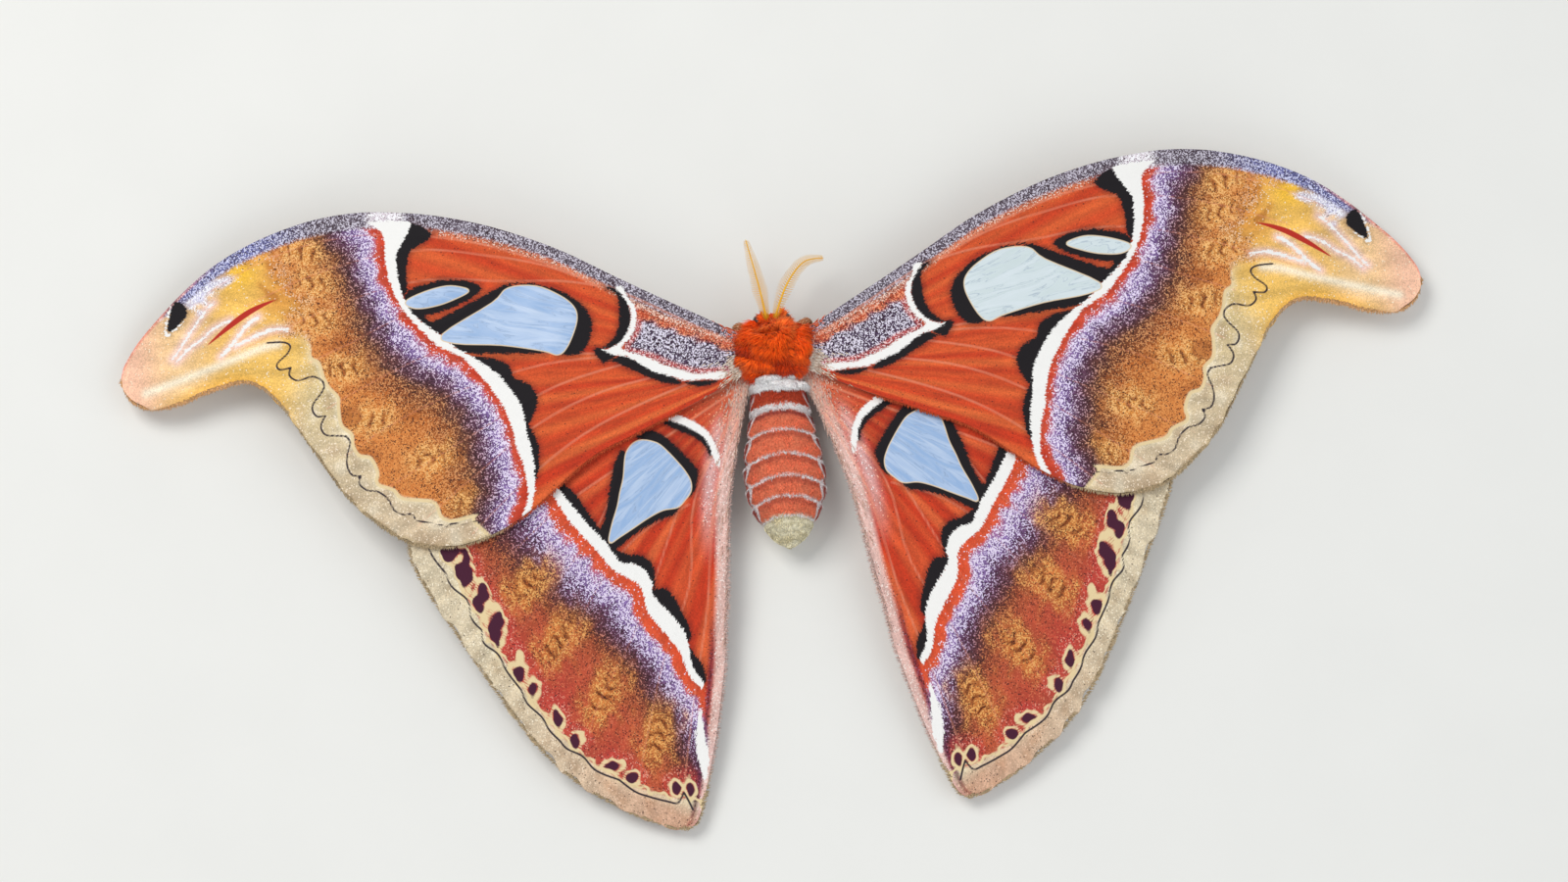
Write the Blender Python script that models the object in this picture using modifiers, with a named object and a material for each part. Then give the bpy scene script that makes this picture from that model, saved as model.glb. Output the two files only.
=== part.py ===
"""An atlas moth at rest with its wings spread, life size, as a still display model.

The moth stands on z = 0 with its head towards -Y, and its own left side is +X. A place
on it is given by three numbers in millimetres: its span, which is the distance out from
the body's midline, its ahead, which is the distance ahead of the middle of the thorax
(minus is behind), and its height over the floor. MM turns them into metres.
"""

import math

import bmesh
import bpy
from mathutils import Vector

MM = 0.001

# Driving dimensions, in millimetres
HALF_SPAN = 121.1
MIDDLE_AHEAD = -27.0
PIECE_GAP = 0.34

# The thorax and the head are egg shapes: middle ahead, middle height, half sizes
THORAX = {"ahead": -0.2, "height": 8.8, "wide": 8.0, "long": 5.7, "tall": 6.5}
HEAD = {"ahead": 4.95, "height": 8.1, "wide": 2.75, "long": 2.55, "tall": 2.7}
THORAX_RINGS = (14, 20)
HEAD_RINGS = (10, 14)
EYE_RINGS = (8, 12)
ABDOMEN_RINGS = (22, 18)
EYE_RADIUS = 1.3
EYE_PLACE = (2.3, 5.9, 8.1)
PALP_RADIUS = 0.55
PALP_TIP_SHARE = 0.6
PALP_PATH = ((0.75, 5.6, 6.6), (0.8, 6.7, 5.9), (0.8, 7.4, 5.3))

# The abdomen, station by station: ahead, half width, height of its middle
ABDOMEN_STATIONS = (
    (-4.4, 0.0, 9.0),
    (-4.7, 3.6, 8.9),
    (-6.8, 5.1, 8.7),
    (-10.5, 5.9, 8.3),
    (-15.0, 6.7, 7.9),
    (-20.0, 7.7, 7.7),
    (-25.0, 7.95, 7.6),
    (-29.0, 7.1, 7.1),
    (-32.5, 5.2, 6.5),
    (-35.2, 2.9, 6.0),
    (-36.9, 0.0, 5.7),
)
ABDOMEN_FLATNESS = 0.83
ABDOMEN_LEAST_HALF_WIDTH = 0.2

# Each rib of a wing runs from its front or outer edge to its hind or inner edge
FOREWING_RIBS = (
    (6.0, 3.0, 5.4, -3.9),
    (13.2, 7.2, 15.0, -8.8),
    (27.6, 15.4, 27.3, -14.1),
    (38.7, 21.9, 35.4, -17.8),
    (50.0, 26.9, 46.2, -25.9),
    (60.0, 29.9, 53.5, -29.9),
    (68.0, 31.4, 61.5, -31.7),
    (75.3, 32.1, 70.0, -30.0),
    (83.0, 31.6, 79.2, -22.2),
    (90.3, 29.9, 85.4, -12.7),
    (97.0, 27.5, 91.6, -2.6),
    (103.0, 24.4, 97.2, 2.0),
    (108.5, 20.4, 104.5, 1.2),
    (113.5, 15.9, 110.7, -0.7),
    (117.5, 11.8, 116.3, -0.8),
    (120.3, 7.8, 119.4, 1.0),
    (HALF_SPAN, 5.4, 120.9, 3.6),
)
HINDWING_RIBS = (
    (4.8, -1.6, 5.0, -4.3),
    (24.0, -6.5, 6.9, -11.0),
    (42.0, -11.5, 8.9, -19.0),
    (57.0, -17.0, 10.5, -26.8),
    (66.5, -23.5, 11.4, -35.0),
    (69.6, -31.4, 12.0, -42.6),
    (67.0, -39.0, 12.9, -50.0),
    (62.1, -47.5, 13.7, -57.0),
    (55.6, -58.7, 15.0, -63.8),
    (47.7, -70.5, 16.4, -70.3),
    (40.1, -77.7, 17.8, -75.6),
    (32.3, -82.7, 19.3, -80.8),
    (27.4, -85.0, 20.8, -84.7),
    (24.8, -86.0, 22.3, -86.1),
)
HINDWING_PIVOT = (5.0, -8.0)
HINDWING_SWING = {"left": 0.0, "right": math.radians(4.6)}

# The wings lie on one arched sheet, the forewing above it and the hindwing below
WING_ROOT_HEIGHT = 10.0
WING_ARCH = 1.6
WING_ARCH_LENGTH = 130.0
TIP_DROOP = 6.5
TIP_DROOP_POWER = 2.6
FRONT_DROOP = 0.9
FRONT_DROOP_FROM = 5.0
FRONT_DROOP_LENGTH = 27.0
REAR_DROOP = 7.2
REAR_DROOP_FROM = -8.0
REAR_DROOP_LENGTH = 78.0
REAR_DROOP_POWER = 1.25
FOREWING_LIFT = 0.5
HINDWING_DROP = 0.5
HINDWING_ROOT_DROP = 1.2
ROOT_FADE = 20.0
BLADE_THICKNESS = 0.6
FOREWING_ROOT_THICKNESS = 1.7
HINDWING_ROOT_THICKNESS = 1.2
FRONT_EDGE_THICKNESS = 1.1
ROOT_THINNING = 9.0
FRONT_EDGE_THINNING = 14.0
FOREWING_GRID = (28, 9)
HINDWING_GRID = (22, 9)

# Antennae: the midline of each, and the width of the feather along it
ANTENNA_PATHS = {
    "left": ((0.95, 5.6, 9.6), (1.2, 7.0, 10.6), (1.9, 11.5, 10.9), (2.8, 16.5, 10.2), (3.7, 21.3, 8.9)),
    "right": ((0.85, 5.6, 9.6), (1.0, 7.0, 10.6), (3.4, 12.2, 10.9), (6.7, 16.0, 10.2), (10.4, 16.7, 9.2)),
}
ANTENNA_HALF_WIDTH = 1.5
ANTENNA_WIDEST_SHARE = 0.45
ANTENNA_SWELL_AT_BASE = 0.16
ANTENNA_SWELL_POWER = 0.8
STALK_HALF_WIDTH = 0.3
ANTENNA_THICKNESS = 0.6
ANTENNA_GRID = (16, 2)

# Legs: path of each from inside the thorax to the end of the foot, as span, ahead, height
LEG_PATHS = {
    "front": (
        (2.6, 2.4, 5.4), (4.6, 4.2, 6.4), (6.3, 5.3, 6.9), (6.9, 5.0, 4.6),
        (7.3, 4.3, 1.9), (7.9, 3.6, 0.55), (9.3, 2.5, 0.36), (11.0, 1.2, 0.36),
    ),
    "middle": (
        (3.6, -0.6, 4.9), (6.4, -0.8, 6.2), (9.0, -0.9, 6.6), (10.8, -1.1, 4.4),
        (12.5, -1.4, 1.8), (13.7, -1.7, 0.55), (15.3, -2.2, 0.36), (17.6, -3.0, 0.36),
    ),
    "hind": (
        (3.4, -3.2, 4.9), (6.2, -5.9, 5.6), (8.8, -8.8, 5.9), (10.3, -13.6, 4.2),
        (11.7, -18.6, 2.0), (12.5, -21.0, 0.6), (13.3, -23.2, 0.36), (14.4, -26.0, 0.36),
    ),
}
LEG_RADII = (1.1, 1.15, 0.95, 0.8, 0.75, 0.6, 0.6, 0.5)
LEG_STEPS = 15

# Colour (linear red, green, blue) and roughness of each kind of piece
FINISHES = {
    "orange_fur": ((0.62, 0.07, 0.02), 0.9),
    "abdomen_velvet": ((0.55, 0.12, 0.06), 0.85),
    "rust_wing": ((0.52, 0.09, 0.03), 0.8),
    "amber_feeler": ((0.60, 0.30, 0.08), 0.7),
    "brown_leg": ((0.25, 0.10, 0.04), 0.85),
    "dark_eye": ((0.02, 0.012, 0.01), 0.25),
}


def clear_scene():
    """Remove what the scene holds before the moth is made."""
    for thing in list(bpy.data.objects):
        bpy.data.objects.remove(thing, do_unlink=True)


def place(side, span, ahead, height):
    """World place of a point of the moth, where side is left or right."""
    across = span if side == "left" else -span
    return Vector((across * MM, (MIDDLE_AHEAD - ahead) * MM, height * MM))


def curve_through(points, share):
    """Point at a share from 0 to 1 of a smooth curve through a list of points."""
    last = len(points) - 1
    position = min(max(share, 0.0), 1.0) * last
    start = min(int(position), last - 1)
    t = position - start
    before = points[max(start - 1, 0)]
    here = points[start]
    there = points[start + 1]
    after = points[min(start + 2, last)]
    result = []
    for a, b, c, d in zip(before, here, there, after):
        bend = (2 * a - 5 * b + 4 * c - d) * t * t + (3 * b - a - 3 * c + d) * t ** 3
        result.append(0.5 * (2 * b + (c - a) * t + bend))
    return result


def finish(name):
    """The material of this name, made at its first use."""
    if name in bpy.data.materials:
        return bpy.data.materials[name]
    colour, roughness = FINISHES[name]
    material = bpy.data.materials.new(name)
    material.use_nodes = True
    shader = material.node_tree.nodes["Principled BSDF"]
    shader.inputs["Base Color"].default_value = (*colour, 1.0)
    shader.inputs["Roughness"].default_value = roughness
    shader.inputs["Metallic"].default_value = 0.0
    return material


def add_piece(name, bm, finish_name):
    """Turn a bmesh into a smooth shaded object of the moth."""
    mesh = bpy.data.meshes.new(name)
    bm.to_mesh(mesh)
    bm.free()
    mesh.shade_smooth()
    mesh.set_sharp_from_angle(angle=math.radians(60))
    mesh.materials.append(finish(finish_name))
    piece = bpy.data.objects.new(name, mesh)
    moth.objects.link(piece)
    return piece


def ball(rings, sectors):
    """A ball of radius 1, as a bmesh."""
    bm = bmesh.new()
    bmesh.ops.create_uvsphere(bm, u_segments=sectors, v_segments=rings, radius=1.0)
    return bm


def make_egg(name, shape, rings):
    """A furry egg shape on the midline, from its middle and its half sizes."""
    bm = ball(*rings)
    for vert in bm.verts:
        x, y, z = vert.co
        ahead = shape["ahead"] - y * shape["long"]
        height = shape["height"] + z * shape["tall"]
        vert.co = place("left", x * shape["wide"], ahead, height)
    return add_piece(name, bm, "orange_fur")


def make_eye(side):
    """A compound eye, a ball set half deep in the head's flank."""
    bm = ball(*EYE_RINGS)
    middle = place(side, *EYE_PLACE)
    for vert in bm.verts:
        vert.co = middle + vert.co * EYE_RADIUS * MM
    return add_piece(f"eye_{side}", bm, "dark_eye")


def make_abdomen():
    """The abdomen, a ball drawn out along the stations of its outline."""
    bm = ball(*ABDOMEN_RINGS)
    for vert in bm.verts:
        x, y, z = vert.co
        share = math.acos(max(-1.0, min(1.0, z))) / math.pi
        ahead, half_width, middle = curve_through(ABDOMEN_STATIONS, share)
        around = math.atan2(y, x)
        pole = math.hypot(x, y) < 1e-6
        half_width = 0.0 if pole else max(half_width, ABDOMEN_LEAST_HALF_WIDTH)
        span = half_width * math.cos(around)
        height = middle + half_width * ABDOMEN_FLATNESS * math.sin(around)
        vert.co = place("left", span, ahead, height)
    bmesh.ops.recalc_face_normals(bm, faces=bm.faces)
    return add_piece("abdomen", bm, "abdomen_velvet")


def sheet_height(span, ahead):
    """Height over the floor of the arched sheet that the wings lie on."""
    arch = WING_ARCH * math.sin(math.pi * span / WING_ARCH_LENGTH)
    tip = TIP_DROOP * (abs(span) / HALF_SPAN) ** TIP_DROOP_POWER
    behind = max(0.0, REAR_DROOP_FROM - ahead) / REAR_DROOP_LENGTH
    rear = REAR_DROOP * behind ** REAR_DROOP_POWER
    before = max(0.0, ahead - FRONT_DROOP_FROM) / FRONT_DROOP_LENGTH
    front = FRONT_DROOP * before ** 2
    return WING_ROOT_HEIGHT + arch - tip - rear - front


def rib_point(ribs, along, across):
    """Span and ahead of a point of a wing, from its shares along and across it."""
    front_span, front_ahead, hind_span, hind_ahead = curve_through(ribs, along)
    span = front_span + (hind_span - front_span) * across
    ahead = front_ahead + (hind_ahead - front_ahead) * across
    return span, ahead


def swung(side, span, ahead):
    """A hindwing point, turned out about its pivot by the swing of its side."""
    angle = HINDWING_SWING[side]
    out = span - HINDWING_PIVOT[0]
    forward = ahead - HINDWING_PIVOT[1]
    turned_out = out * math.cos(angle) - forward * math.sin(angle)
    turned_forward = out * math.sin(angle) + forward * math.cos(angle)
    return HINDWING_PIVOT[0] + turned_out, HINDWING_PIVOT[1] + turned_forward


def forewing_place(side, along, across):
    """World place of a point in the middle of the forewing's thickness."""
    span, ahead = rib_point(FOREWING_RIBS, along, across)
    return place(side, span, ahead, sheet_height(span, ahead) + FOREWING_LIFT)


def hindwing_place(side, along, across):
    """World place of a point in the middle of the hindwing's thickness."""
    span, ahead = swung(side, *rib_point(HINDWING_RIBS, along, across))
    root = math.exp(-math.hypot(span, ahead) / ROOT_FADE)
    height = sheet_height(span, ahead) - HINDWING_DROP - HINDWING_ROOT_DROP * root
    return place(side, span, ahead, height)


def make_wing(name, side, where, grid, root_thickness, front_thickness):
    """A wing blade: a grid laid on its sheet, thicker at its root and front edge."""
    bm = bmesh.new()
    bmesh.ops.create_grid(bm, x_segments=grid[0], y_segments=grid[1], size=0.5)
    shares = []
    for vert in bm.verts:
        along = vert.co.x + 0.5
        across = vert.co.y + 0.5
        shares.append((along, across))
        vert.co = where(side, along, across)
    wing = add_piece(name, bm, "rust_wing")
    thickest = wing.vertex_groups.new(name="thickness")
    for index, (along, across) in enumerate(shares):
        root = (root_thickness - BLADE_THICKNESS) * math.exp(-along * ROOT_THINNING)
        fade = math.exp(-across * FRONT_EDGE_THINNING) * (1.0 - along)
        edge = (front_thickness - BLADE_THICKNESS) * fade
        weight = (BLADE_THICKNESS + max(root, edge)) / root_thickness
        thickest.add([index], min(weight, 1.0), "REPLACE")
    solidify = wing.modifiers.new("thickness", "SOLIDIFY")
    solidify.thickness = root_thickness * MM
    solidify.offset = 0.0
    solidify.vertex_group = "thickness"
    return wing


def antenna_half_width(share):
    """Half width of the feather of an antenna at a share of its length."""
    turn = min(share * (1.0 - ANTENNA_SWELL_AT_BASE) + ANTENNA_SWELL_AT_BASE, 1.0)
    swell = math.sin(math.pi * turn) ** ANTENNA_SWELL_POWER
    growth = min(1.0, share / ANTENNA_WIDEST_SHARE)
    return STALK_HALF_WIDTH + (ANTENNA_HALF_WIDTH - STALK_HALF_WIDTH) * swell * growth


def make_antenna(side):
    """A feeler, the flat feather shape that its rows of branches fill."""
    path = ANTENNA_PATHS[side]
    bm = bmesh.new()
    bmesh.ops.create_grid(bm, x_segments=ANTENNA_GRID[0], y_segments=ANTENNA_GRID[1], size=0.5)
    for vert in bm.verts:
        share = vert.co.x + 0.5
        here = place(side, *curve_through(path, share))
        onward = place(side, *curve_through(path, min(share + 0.02, 1.0)))
        back = place(side, *curve_through(path, max(share - 0.02, 0.0)))
        sideways = (onward - back).cross(Vector((0, 0, 1))).normalized()
        vert.co = here + sideways * (2 * vert.co.y) * antenna_half_width(share) * MM
    antenna = add_piece(f"antenna_{side}", bm, "amber_feeler")
    solidify = antenna.modifiers.new("thickness", "SOLIDIFY")
    solidify.thickness = ANTENNA_THICKNESS * MM
    solidify.offset = 0.0
    return antenna


def make_tube(name, places, radii, finish_name):
    """A closed tube through the places, cut flat where it would go under the floor."""
    data = bpy.data.curves.new(name, "CURVE")
    data.dimensions = "3D"
    data.bevel_depth = 1.0
    data.bevel_resolution = 2
    data.use_fill_caps = True
    spline = data.splines.new("POLY")
    spline.points.add(len(places) - 1)
    for point, where, radius in zip(spline.points, places, radii):
        point.co = (*where, 1.0)
        point.radius = radius * MM
    guide = bpy.data.objects.new(name + "_guide", data)
    moth.objects.link(guide)
    graph = bpy.context.evaluated_depsgraph_get()
    mesh = bpy.data.meshes.new_from_object(guide.evaluated_get(graph))
    bpy.data.objects.remove(guide, do_unlink=True)
    bm = bmesh.new()
    bm.from_mesh(mesh)
    bmesh.ops.remove_doubles(bm, verts=bm.verts, dist=0.000001)
    everything = bm.verts[:] + bm.edges[:] + bm.faces[:]
    bmesh.ops.bisect_plane(bm, geom=everything, plane_co=(0, 0, 0), plane_no=(0, 0, -1),
                           clear_outer=True)
    bmesh.ops.holes_fill(bm, edges=[edge for edge in bm.edges if edge.is_boundary])
    bmesh.ops.recalc_face_normals(bm, faces=bm.faces)
    bmesh.ops.triangulate(bm, faces=[face for face in bm.faces if len(face.verts) > 4])
    return add_piece(name, bm, finish_name)


def make_leg(kind, side):
    """A leg from its root in the thorax, over the knee, to the flat of its foot."""
    shares = [step / (LEG_STEPS - 1) for step in range(LEG_STEPS)]
    places = [place(side, *curve_through(LEG_PATHS[kind], share)) for share in shares]
    radii = [curve_through([(radius,) for radius in LEG_RADII], share)[0] for share in shares]
    return make_tube(f"leg_{kind}_{side}", places, radii, "brown_leg")


def make_palp(side):
    """A short feeler under the face."""
    places = [place(side, *point) for point in PALP_PATH]
    radii = (PALP_RADIUS, PALP_RADIUS, PALP_TIP_SHARE * PALP_RADIUS)
    return make_tube(f"palp_{side}", places, radii, "orange_fur")


def let_into(host, guests):
    """Cut a host piece so that its guests sit in it with a thin gap all round."""
    graph = bpy.context.evaluated_depsgraph_get()
    for guest in guests:
        mesh = bpy.data.meshes.new_from_object(guest.evaluated_get(graph))
        bm = bmesh.new()
        bm.from_mesh(mesh)
        bm.normal_update()
        moves = [vert.normal * PIECE_GAP * MM for vert in bm.verts]
        for vert, move in zip(bm.verts, moves):
            vert.co += move
        bm.to_mesh(mesh)
        bm.free()
        seat = bpy.data.objects.new(f"{host.name}_seat_of_{guest.name}", mesh)
        seat.hide_render = True
        seat.display_type = "WIRE"
        cutters.objects.link(seat)
        cut = host.modifiers.new(f"seat of {guest.name}", "BOOLEAN")
        cut.operation = "DIFFERENCE"
        cut.solver = "EXACT"
        cut.object = seat


def make_moth():
    """Make every piece, then seat the neighbours in the head and the thorax."""
    thorax = make_egg("thorax", THORAX, THORAX_RINGS)
    head = make_egg("head", HEAD, HEAD_RINGS)
    on_head = []
    on_thorax = [head, make_abdomen()]
    for side in ("left", "right"):
        eye = make_eye(side)
        on_thorax.append(eye)
        on_head += [eye, make_antenna(side), make_palp(side)]
        on_thorax.append(make_wing(f"forewing_{side}", side, forewing_place, FOREWING_GRID,
                                   FOREWING_ROOT_THICKNESS, FRONT_EDGE_THICKNESS))
        on_thorax.append(make_wing(f"hindwing_{side}", side, hindwing_place, HINDWING_GRID,
                                   HINDWING_ROOT_THICKNESS, BLADE_THICKNESS))
        for kind in LEG_PATHS:
            on_thorax.append(make_leg(kind, side))
    let_into(thorax, on_thorax)
    let_into(head, on_head)


clear_scene()
moth = bpy.data.collections.new("Atlas moth")
cutters = bpy.data.collections.new("Atlas moth cutters")
bpy.context.scene.collection.children.link(moth)
bpy.context.scene.collection.children.link(cutters)
make_moth()
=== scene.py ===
"""An atlas moth at rest with its wings spread: its scales, coat, feelers, legs and eyes.

The CAD model is the fixed frame, and stands on z = 0 with the moth's head towards -Y and
its left side towards +X. As in the CAD, a place on the moth is given in millimetres: its
span, the distance out from the midline, its ahead, the distance ahead of the middle of
the thorax, and its height over the floor. The markings are outlines in span and ahead.
"""

import math

import bpy
import numpy as np
from bpy.props import FloatProperty, FloatVectorProperty, IntProperty, PointerProperty
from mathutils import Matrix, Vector


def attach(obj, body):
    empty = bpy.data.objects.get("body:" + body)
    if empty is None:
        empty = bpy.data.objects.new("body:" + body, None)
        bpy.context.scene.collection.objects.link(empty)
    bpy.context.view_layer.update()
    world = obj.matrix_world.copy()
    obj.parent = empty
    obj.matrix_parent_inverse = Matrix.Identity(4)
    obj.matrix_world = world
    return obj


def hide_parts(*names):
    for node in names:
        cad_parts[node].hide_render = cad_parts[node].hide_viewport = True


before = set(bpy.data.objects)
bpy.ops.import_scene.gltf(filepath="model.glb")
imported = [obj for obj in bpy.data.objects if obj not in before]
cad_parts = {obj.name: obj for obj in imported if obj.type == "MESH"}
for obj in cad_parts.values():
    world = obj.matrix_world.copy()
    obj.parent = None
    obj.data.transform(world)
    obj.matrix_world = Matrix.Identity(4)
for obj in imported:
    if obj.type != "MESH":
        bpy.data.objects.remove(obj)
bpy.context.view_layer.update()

bl_info = {
    "name": "Atlas Moth",
    "version": (1, 0, 0),
    "blender": (4, 5, 0),
    "location": "View3D > Sidebar > Atlas Moth",
    "description": "Life-size atlas moth with scaled wings and a tufted coat",
    "category": "Add Mesh",
}

MM = 0.001
SIDES = ("left", "right")
OUTWARD = {"left": 1.0, "right": -1.0}
UPWARD = np.array((0.0, 0.0, 1.0))

# The moth's own shape, as in the CAD
HALF_SPAN = 121.1
MIDDLE_AHEAD = -27.0
THORAX = {"ahead": -0.2, "height": 8.8, "wide": 8.0, "long": 5.7, "tall": 6.5}
HEAD = {"ahead": 4.95, "height": 8.1, "wide": 2.75, "long": 2.55, "tall": 2.7}
EYE_RADIUS = 1.3
EYE_PLACE = (2.3, 5.9, 8.1)
PALP_PATH = ((0.75, 5.6, 6.6), (0.8, 6.7, 5.9), (0.8, 7.4, 5.3))
PALP_RADIUS = 0.55
ABDOMEN_STATIONS = (
    (-2.4, 0.0, 9.0), (-3.4, 3.2, 9.0), (-6.8, 5.1, 8.7), (-10.5, 5.9, 8.3), (-15.0, 6.7, 7.9),
    (-20.0, 7.7, 7.7), (-25.0, 7.95, 7.6), (-29.0, 7.1, 7.1), (-32.5, 5.2, 6.5),
    (-35.2, 2.9, 6.0), (-36.9, 0.0, 5.7),
)
ABDOMEN_FLATNESS = 0.83
FOREWING_RIBS = (
    (6.0, 3.0, 5.4, -3.9), (13.2, 7.2, 15.0, -8.8), (27.6, 15.4, 27.3, -14.1),
    (38.7, 21.9, 35.4, -17.8), (50.0, 26.9, 46.2, -25.9), (60.0, 29.9, 53.5, -29.9),
    (68.0, 31.4, 61.5, -31.7), (75.3, 32.1, 70.0, -30.0), (83.0, 31.6, 79.2, -22.2),
    (90.3, 29.9, 85.4, -12.7), (97.0, 27.5, 91.6, -2.6), (103.0, 24.4, 97.2, 2.0),
    (108.5, 20.4, 104.5, 1.2), (113.5, 15.9, 110.7, -0.7), (117.5, 11.8, 116.3, -0.8),
    (120.3, 7.8, 119.4, 1.0), (HALF_SPAN, 5.4, 120.9, 3.6),
)
HINDWING_RIBS = (
    (4.8, -1.6, 5.0, -4.3), (24.0, -6.5, 6.9, -11.0), (42.0, -11.5, 8.9, -19.0),
    (57.0, -17.0, 10.5, -26.8), (66.5, -23.5, 11.4, -35.0), (69.6, -31.4, 12.0, -42.6),
    (67.0, -39.0, 12.9, -50.0), (62.1, -47.5, 13.7, -57.0), (55.6, -58.7, 15.0, -63.8),
    (47.7, -70.5, 16.4, -70.3), (40.1, -77.7, 17.8, -75.6), (32.3, -82.7, 19.3, -80.8),
    (27.4, -85.0, 20.8, -84.7), (24.8, -86.0, 22.3, -86.1),
)
HINDWING_PIVOT = np.array((5.0, -8.0))
HINDWING_SWING = {"left": 0.0, "right": math.radians(4.6)}
ANTENNA_PATHS = {
    "left": ((0.95, 5.6, 9.6), (1.2, 7.0, 10.6), (1.9, 11.5, 10.9), (2.8, 16.5, 10.2), (3.7, 21.3, 8.9)),
    "right": ((0.85, 5.6, 9.6), (1.0, 7.0, 10.6), (3.4, 12.2, 10.9), (6.7, 16.0, 10.2), (10.4, 16.7, 9.2)),
}
LEG_PATHS = {
    "front": (
        (2.6, 2.4, 5.4), (4.6, 4.2, 6.4), (6.3, 5.3, 6.9), (6.9, 5.0, 4.6),
        (7.3, 4.3, 1.9), (7.9, 3.6, 0.55), (9.3, 2.5, 0.36), (11.0, 1.2, 0.36),
    ),
    "middle": (
        (3.6, -0.6, 4.9), (6.4, -0.8, 6.2), (9.0, -0.9, 6.6), (10.8, -1.1, 4.4),
        (12.5, -1.4, 1.8), (13.7, -1.7, 0.55), (15.3, -2.2, 0.36), (17.6, -3.0, 0.36),
    ),
    "hind": (
        (3.4, -3.2, 4.9), (6.2, -5.9, 5.6), (8.8, -8.8, 5.9), (10.3, -13.6, 4.2),
        (11.7, -18.6, 2.0), (12.5, -21.0, 0.6), (13.3, -23.2, 0.36), (14.4, -26.0, 0.36),
    ),
}
LEG_RADII = ((0.95,), (1.0,), (0.8,), (0.66,), (0.6,), (0.42,), (0.34,), (0.26,))

# Forewing markings, as outlines in span and ahead on the flat wing
FORE_WHITE_OUTER = (
    (74.0, 30.8), (70.6, 27.5), (70.5, 24.2), (70.2, 19.6), (68.4, 14.0), (65.3, 9.5), (61.9, 5.6),
    (57.8, 3.2), (55.2, 0.4), (52.3, -3.8), (50.3, -7.4), (49.0, -12.1), (48.8, -14.2),
    (47.8, -17.4), (47.2, -21.0), (47.3, -24.4), (48.2, -26.5), (49.2, -28.4),
)
FORE_WHITE_INNER = (
    (47.0, -26.5), (46.0, -23.4), (45.7, -19.5), (45.9, -15.5), (46.6, -11.5), (47.0, -7.8),
    (48.6, -4.4), (50.8, -1.2), (54.6, 2.2), (58.9, 5.2), (61.6, 7.9), (65.8, 11.7), (67.6, 15.4),
    (68.3, 19.2), (68.4, 22.6), (67.9, 24.3), (65.5, 28.2), (65.2, 31.5),
)
FORE_BLACKS = (
    ((65.3, 28.9), (63.6, 28.3), (61.5, 26.6), (63.3, 25.0), (65.6, 23.8), (66.3, 22.1),
     (66.7, 19.4), (66.7, 16.9), (67.6, 15.2), (68.9, 19.2), (69.0, 22.6), (68.6, 24.5), (66.8, 27.0)),
    ((67.4, 15.3), (65.0, 16.9), (59.4, 17.8), (55.3, 17.1), (53.0, 15.7), (55.6, 13.6),
     (59.9, 12.1), (63.4, 11.4), (66.0, 11.4), (67.2, 13.0)),
    ((66.0, 12.0), (64.2, 11.6), (62.4, 10.2), (56.4, 12.6), (49.9, 15.5), (48.0, 15.9),
     (47.8, 14.8), (54.3, 11.0), (61.1, 7.4)),
    ((48.0, 16.0), (44.2, 15.8), (38.6, 13.9), (34.4, 10.5), (33.1, 7.3), (34.0, 3.9), (35.6, 1.9),
     (38.4, 1.6), (40.2, 2.2), (37.4, 5.9), (36.9, 10.5), (43.0, 14.8)),
    ((59.0, 6.1), (57.1, 3.9), (50.2, 3.0), (41.8, 2.4), (46.7, 4.5), (51.9, 5.4)),
    ((59.0, 5.0), (55.6, 3.0), (51.5, 2.2), (49.0, 0.6), (48.2, -1.7), (45.6, -3.1), (44.2, -5.3),
     (44.4, -7.6), (45.4, -9.5), (46.0, -10.9), (44.7, -13.9), (44.6, -16.7), (45.2, -20.2),
     (46.6, -20.0), (47.0, -11.0), (49.0, -5.0), (54.5, 1.4)),
    ((30.1, 13.9), (28.4, 12.4), (28.0, 10.5), (28.1, 8.0), (28.6, 5.7), (29.7, 3.9), (31.6, 2.4),
     (29.4, 2.6), (27.0, 4.4), (25.9, 7.9), (26.6, 11.6), (28.3, 13.5)),
    ((33.2, 2.2), (31.6, 2.4), (29.2, 0.9), (31.6, -0.3)),
    ((30.0, 0.1), (29.1, -0.6), (26.1, -2.2), (23.1, -3.8), (20.1, -5.0), (17.6, -5.3),
     (19.0, -3.8), (23.6, -1.2), (27.6, 0.8)),
    ((16.8, -5.0), (10.8, -5.2), (13.0, -6.0), (15.2, -5.9)),
    ((110.1, 18.6), (108.6, 17.9), (108.0, 16.1), (109.4, 14.4), (111.6, 12.9), (111.9, 14.2),
     (111.4, 16.2), (110.8, 17.9)),
)
FORE_PANES = (
    ((55.5, 15.3), (56.5, 16.0), (59.5, 16.5), (63.7, 15.7), (67.2, 14.2), (65.3, 12.9),
     (61.2, 13.2), (57.6, 14.3)),
    ((48.1, 15.2), (43.0, 15.1), (38.7, 12.9), (36.4, 10.7), (35.9, 8.6), (36.7, 5.9),
     (38.3, 2.9), (39.9, 1.9), (42.6, 2.9), (50.1, 4.7), (58.6, 5.8), (60.7, 7.6), (51.2, 12.7)),
)
FORE_BAND_WHITE = (
    (28.6, 13.8), (27.1, 11.6), (26.3, 9.8), (26.1, 7.7), (26.8, 5.7), (28.2, 3.7), (30.0, 2.6),
    (32.0, 2.2), (30.1, 1.0), (27.6, 0.4), (25.2, -1.0), (22.5, -2.8), (19.0, -4.1), (17.0, -4.9),
    (13.3, -5.0), (9.6, -5.1), (9.0, -3.4), (14.4, -3.5), (17.0, -2.6), (20.0, -1.5), (22.9, 0.1),
    (25.2, 1.1), (27.9, 2.2), (26.3, 3.8), (25.2, 5.6), (24.7, 8.2), (25.0, 10.2), (26.2, 12.0),
    (27.0, 14.0),
)
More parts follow.
